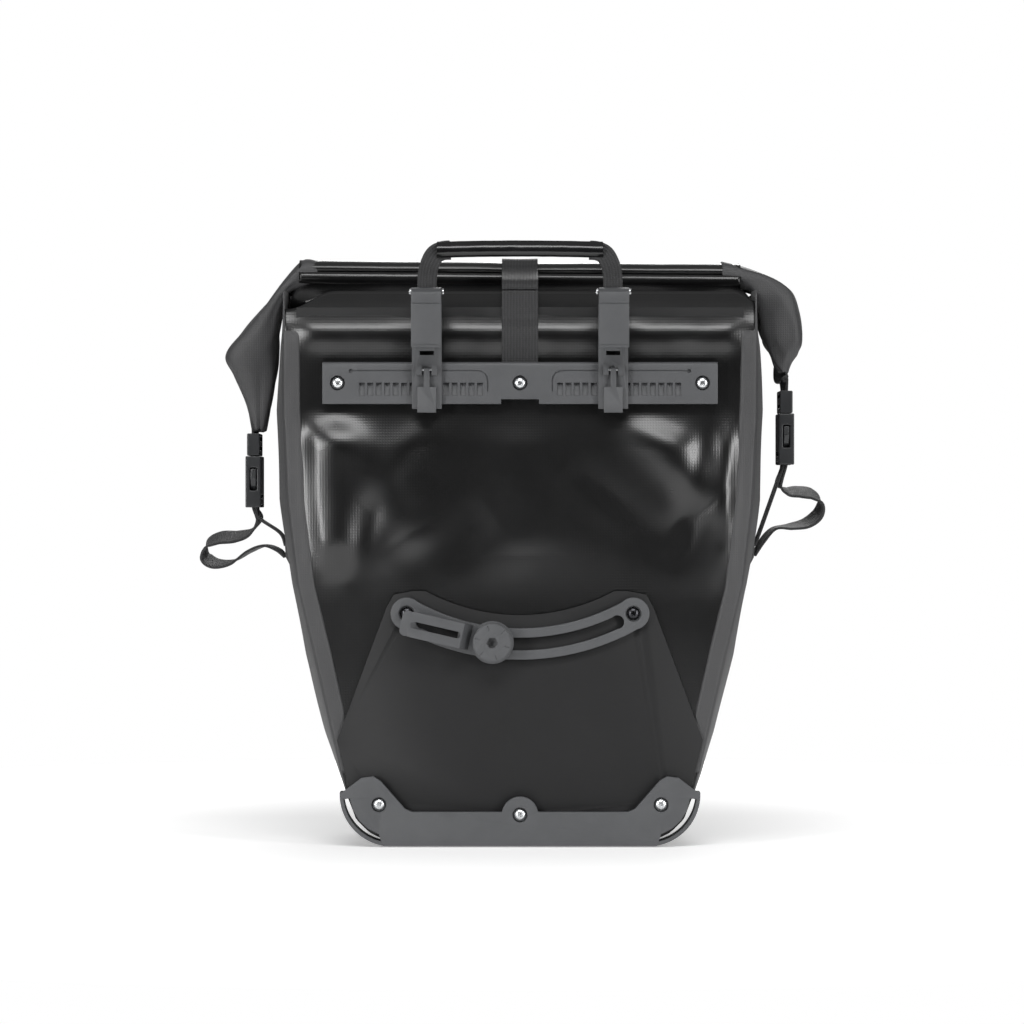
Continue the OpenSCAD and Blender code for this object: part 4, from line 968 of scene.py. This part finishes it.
# ---- Carrying handle ----
# Webbing, 14 mm wide, is sewn round a bar on each hook's lever and runs through a glossy vinyl sleeve.
# The sleeve is a heat-welded tube, slightly flat, with its welded edge along the top.
grip_low, grip_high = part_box("handle_grip")
grip = (grip_low + grip_high) / 2 * 1000
leg_low, leg_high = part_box("handle_webbing")
half_grip = (grip_high.x - grip_low.x) * 500
bar_y = (leg_low.y + leg_high.y) * 500
leg_x = leg_high.x * 1000 - 7
base_z = leg_low.z * 1000
half_leg = [(leg_x, bar_y - 0.1, base_z + 4), (leg_x, bar_y - 0.2, base_z + 10),
            (leg_x - 0.2, grip.y - 0.6, base_z + 17), (leg_x - 1.5, grip.y - 0.8, base_z + 24),
            (leg_x - 5.2, grip.y - 0.6, grip.z - 3.6), (leg_x - 10.5, grip.y - 0.2, grip.z - 0.6),
            (leg_x - 16, grip.y, grip.z)]
for sign in (-1, 1):
    points_side = [(sign * p[0], p[1], p[2]) for p in half_leg]
    across_side = [(1, 0, 0), (1, 0, 0), (1, 0, 0.1 * sign), (0.95, 0, 0.35 * sign), (0.7, 0.1, 0.72 * sign),
                   (0.35, 0.15, 0.9 * sign), (0.1, 0.1, sign)]
    leg = webbing_band("handle_leg_" + ("left" if sign < 0 else "right"), points_side, across_side, 0.0132, 0.0018, 70)
    coat(leg, polypropylene)
    if sign < 0:
        first_leg = leg
leg.select_set(True)
first_leg.select_set(True)
bpy.context.view_layer.objects.active = leg
bpy.ops.object.join()
legs = bpy.context.object
legs.name = "handle_legs"
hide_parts("handle_webbing")
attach(legs, "handle")

vinyl, tree, shader = new_material("glossy vinyl sleeve")
place = add_node(tree, 'ShaderNodeTexCoord').outputs["Object"]
waver = add_node(tree, 'ShaderNodeTexNoise', Vector=place, Scale=45.0, Detail=2.0).outputs["Fac"]
gloss = add_node(tree, 'ShaderNodeMapRange', Value=waver, To_Min=0.14, To_Max=0.26).outputs[0]
tint = add_node(tree, 'ShaderNodeMix', {'data_type': 'RGBA'}, Factor=waver,
                i6=srgb("#0a0a0b"), i7=srgb("#161617")).outputs[2]
tree.links.new(tint, shader.inputs["Base Color"])
tree.links.new(gloss, shader.inputs["Roughness"])
bump = add_node(tree, 'ShaderNodeBump', Strength=0.2, Distance=0.0006, Height=waver).outputs["Normal"]
tree.links.new(bump, shader.inputs["Normal"])
shader.inputs["IOR"].default_value = 1.54

sleeve = plain_grid("handle_sleeve", 48, 90)
for v in sleeve.data.vertices:
    a, along = math.pi * v.co.x, v.co.y
    c, s = math.cos(a), math.sin(a)
    bow = 0.0009 * (1 - along * along)
    flat = 1 - 0.07 * math.cos(2 * a)
    # The welded edge stands up as a thin flap along the top, at the back
    flap = 0.0016 * math.exp(-((a - 1.9) / 0.16) ** 2)
    r = 0.0047 * flat + 0.0001 * noise.noise(Vector((along * 9, c, s)))
    v.co = (along * half_grip / 1000, grip.y / 1000 + c * r + flap * 0.2, grip.z / 1000 + s * (r + flap) + bow - 0.0004)
mend_normals(merge=0.00001)
thicken(sleeve, 0.0011)
bpy.ops.object.shade_smooth_by_angle(angle=math.radians(50))
coat(sleeve, vinyl)
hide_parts("handle_grip")
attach(sleeve, "handle")
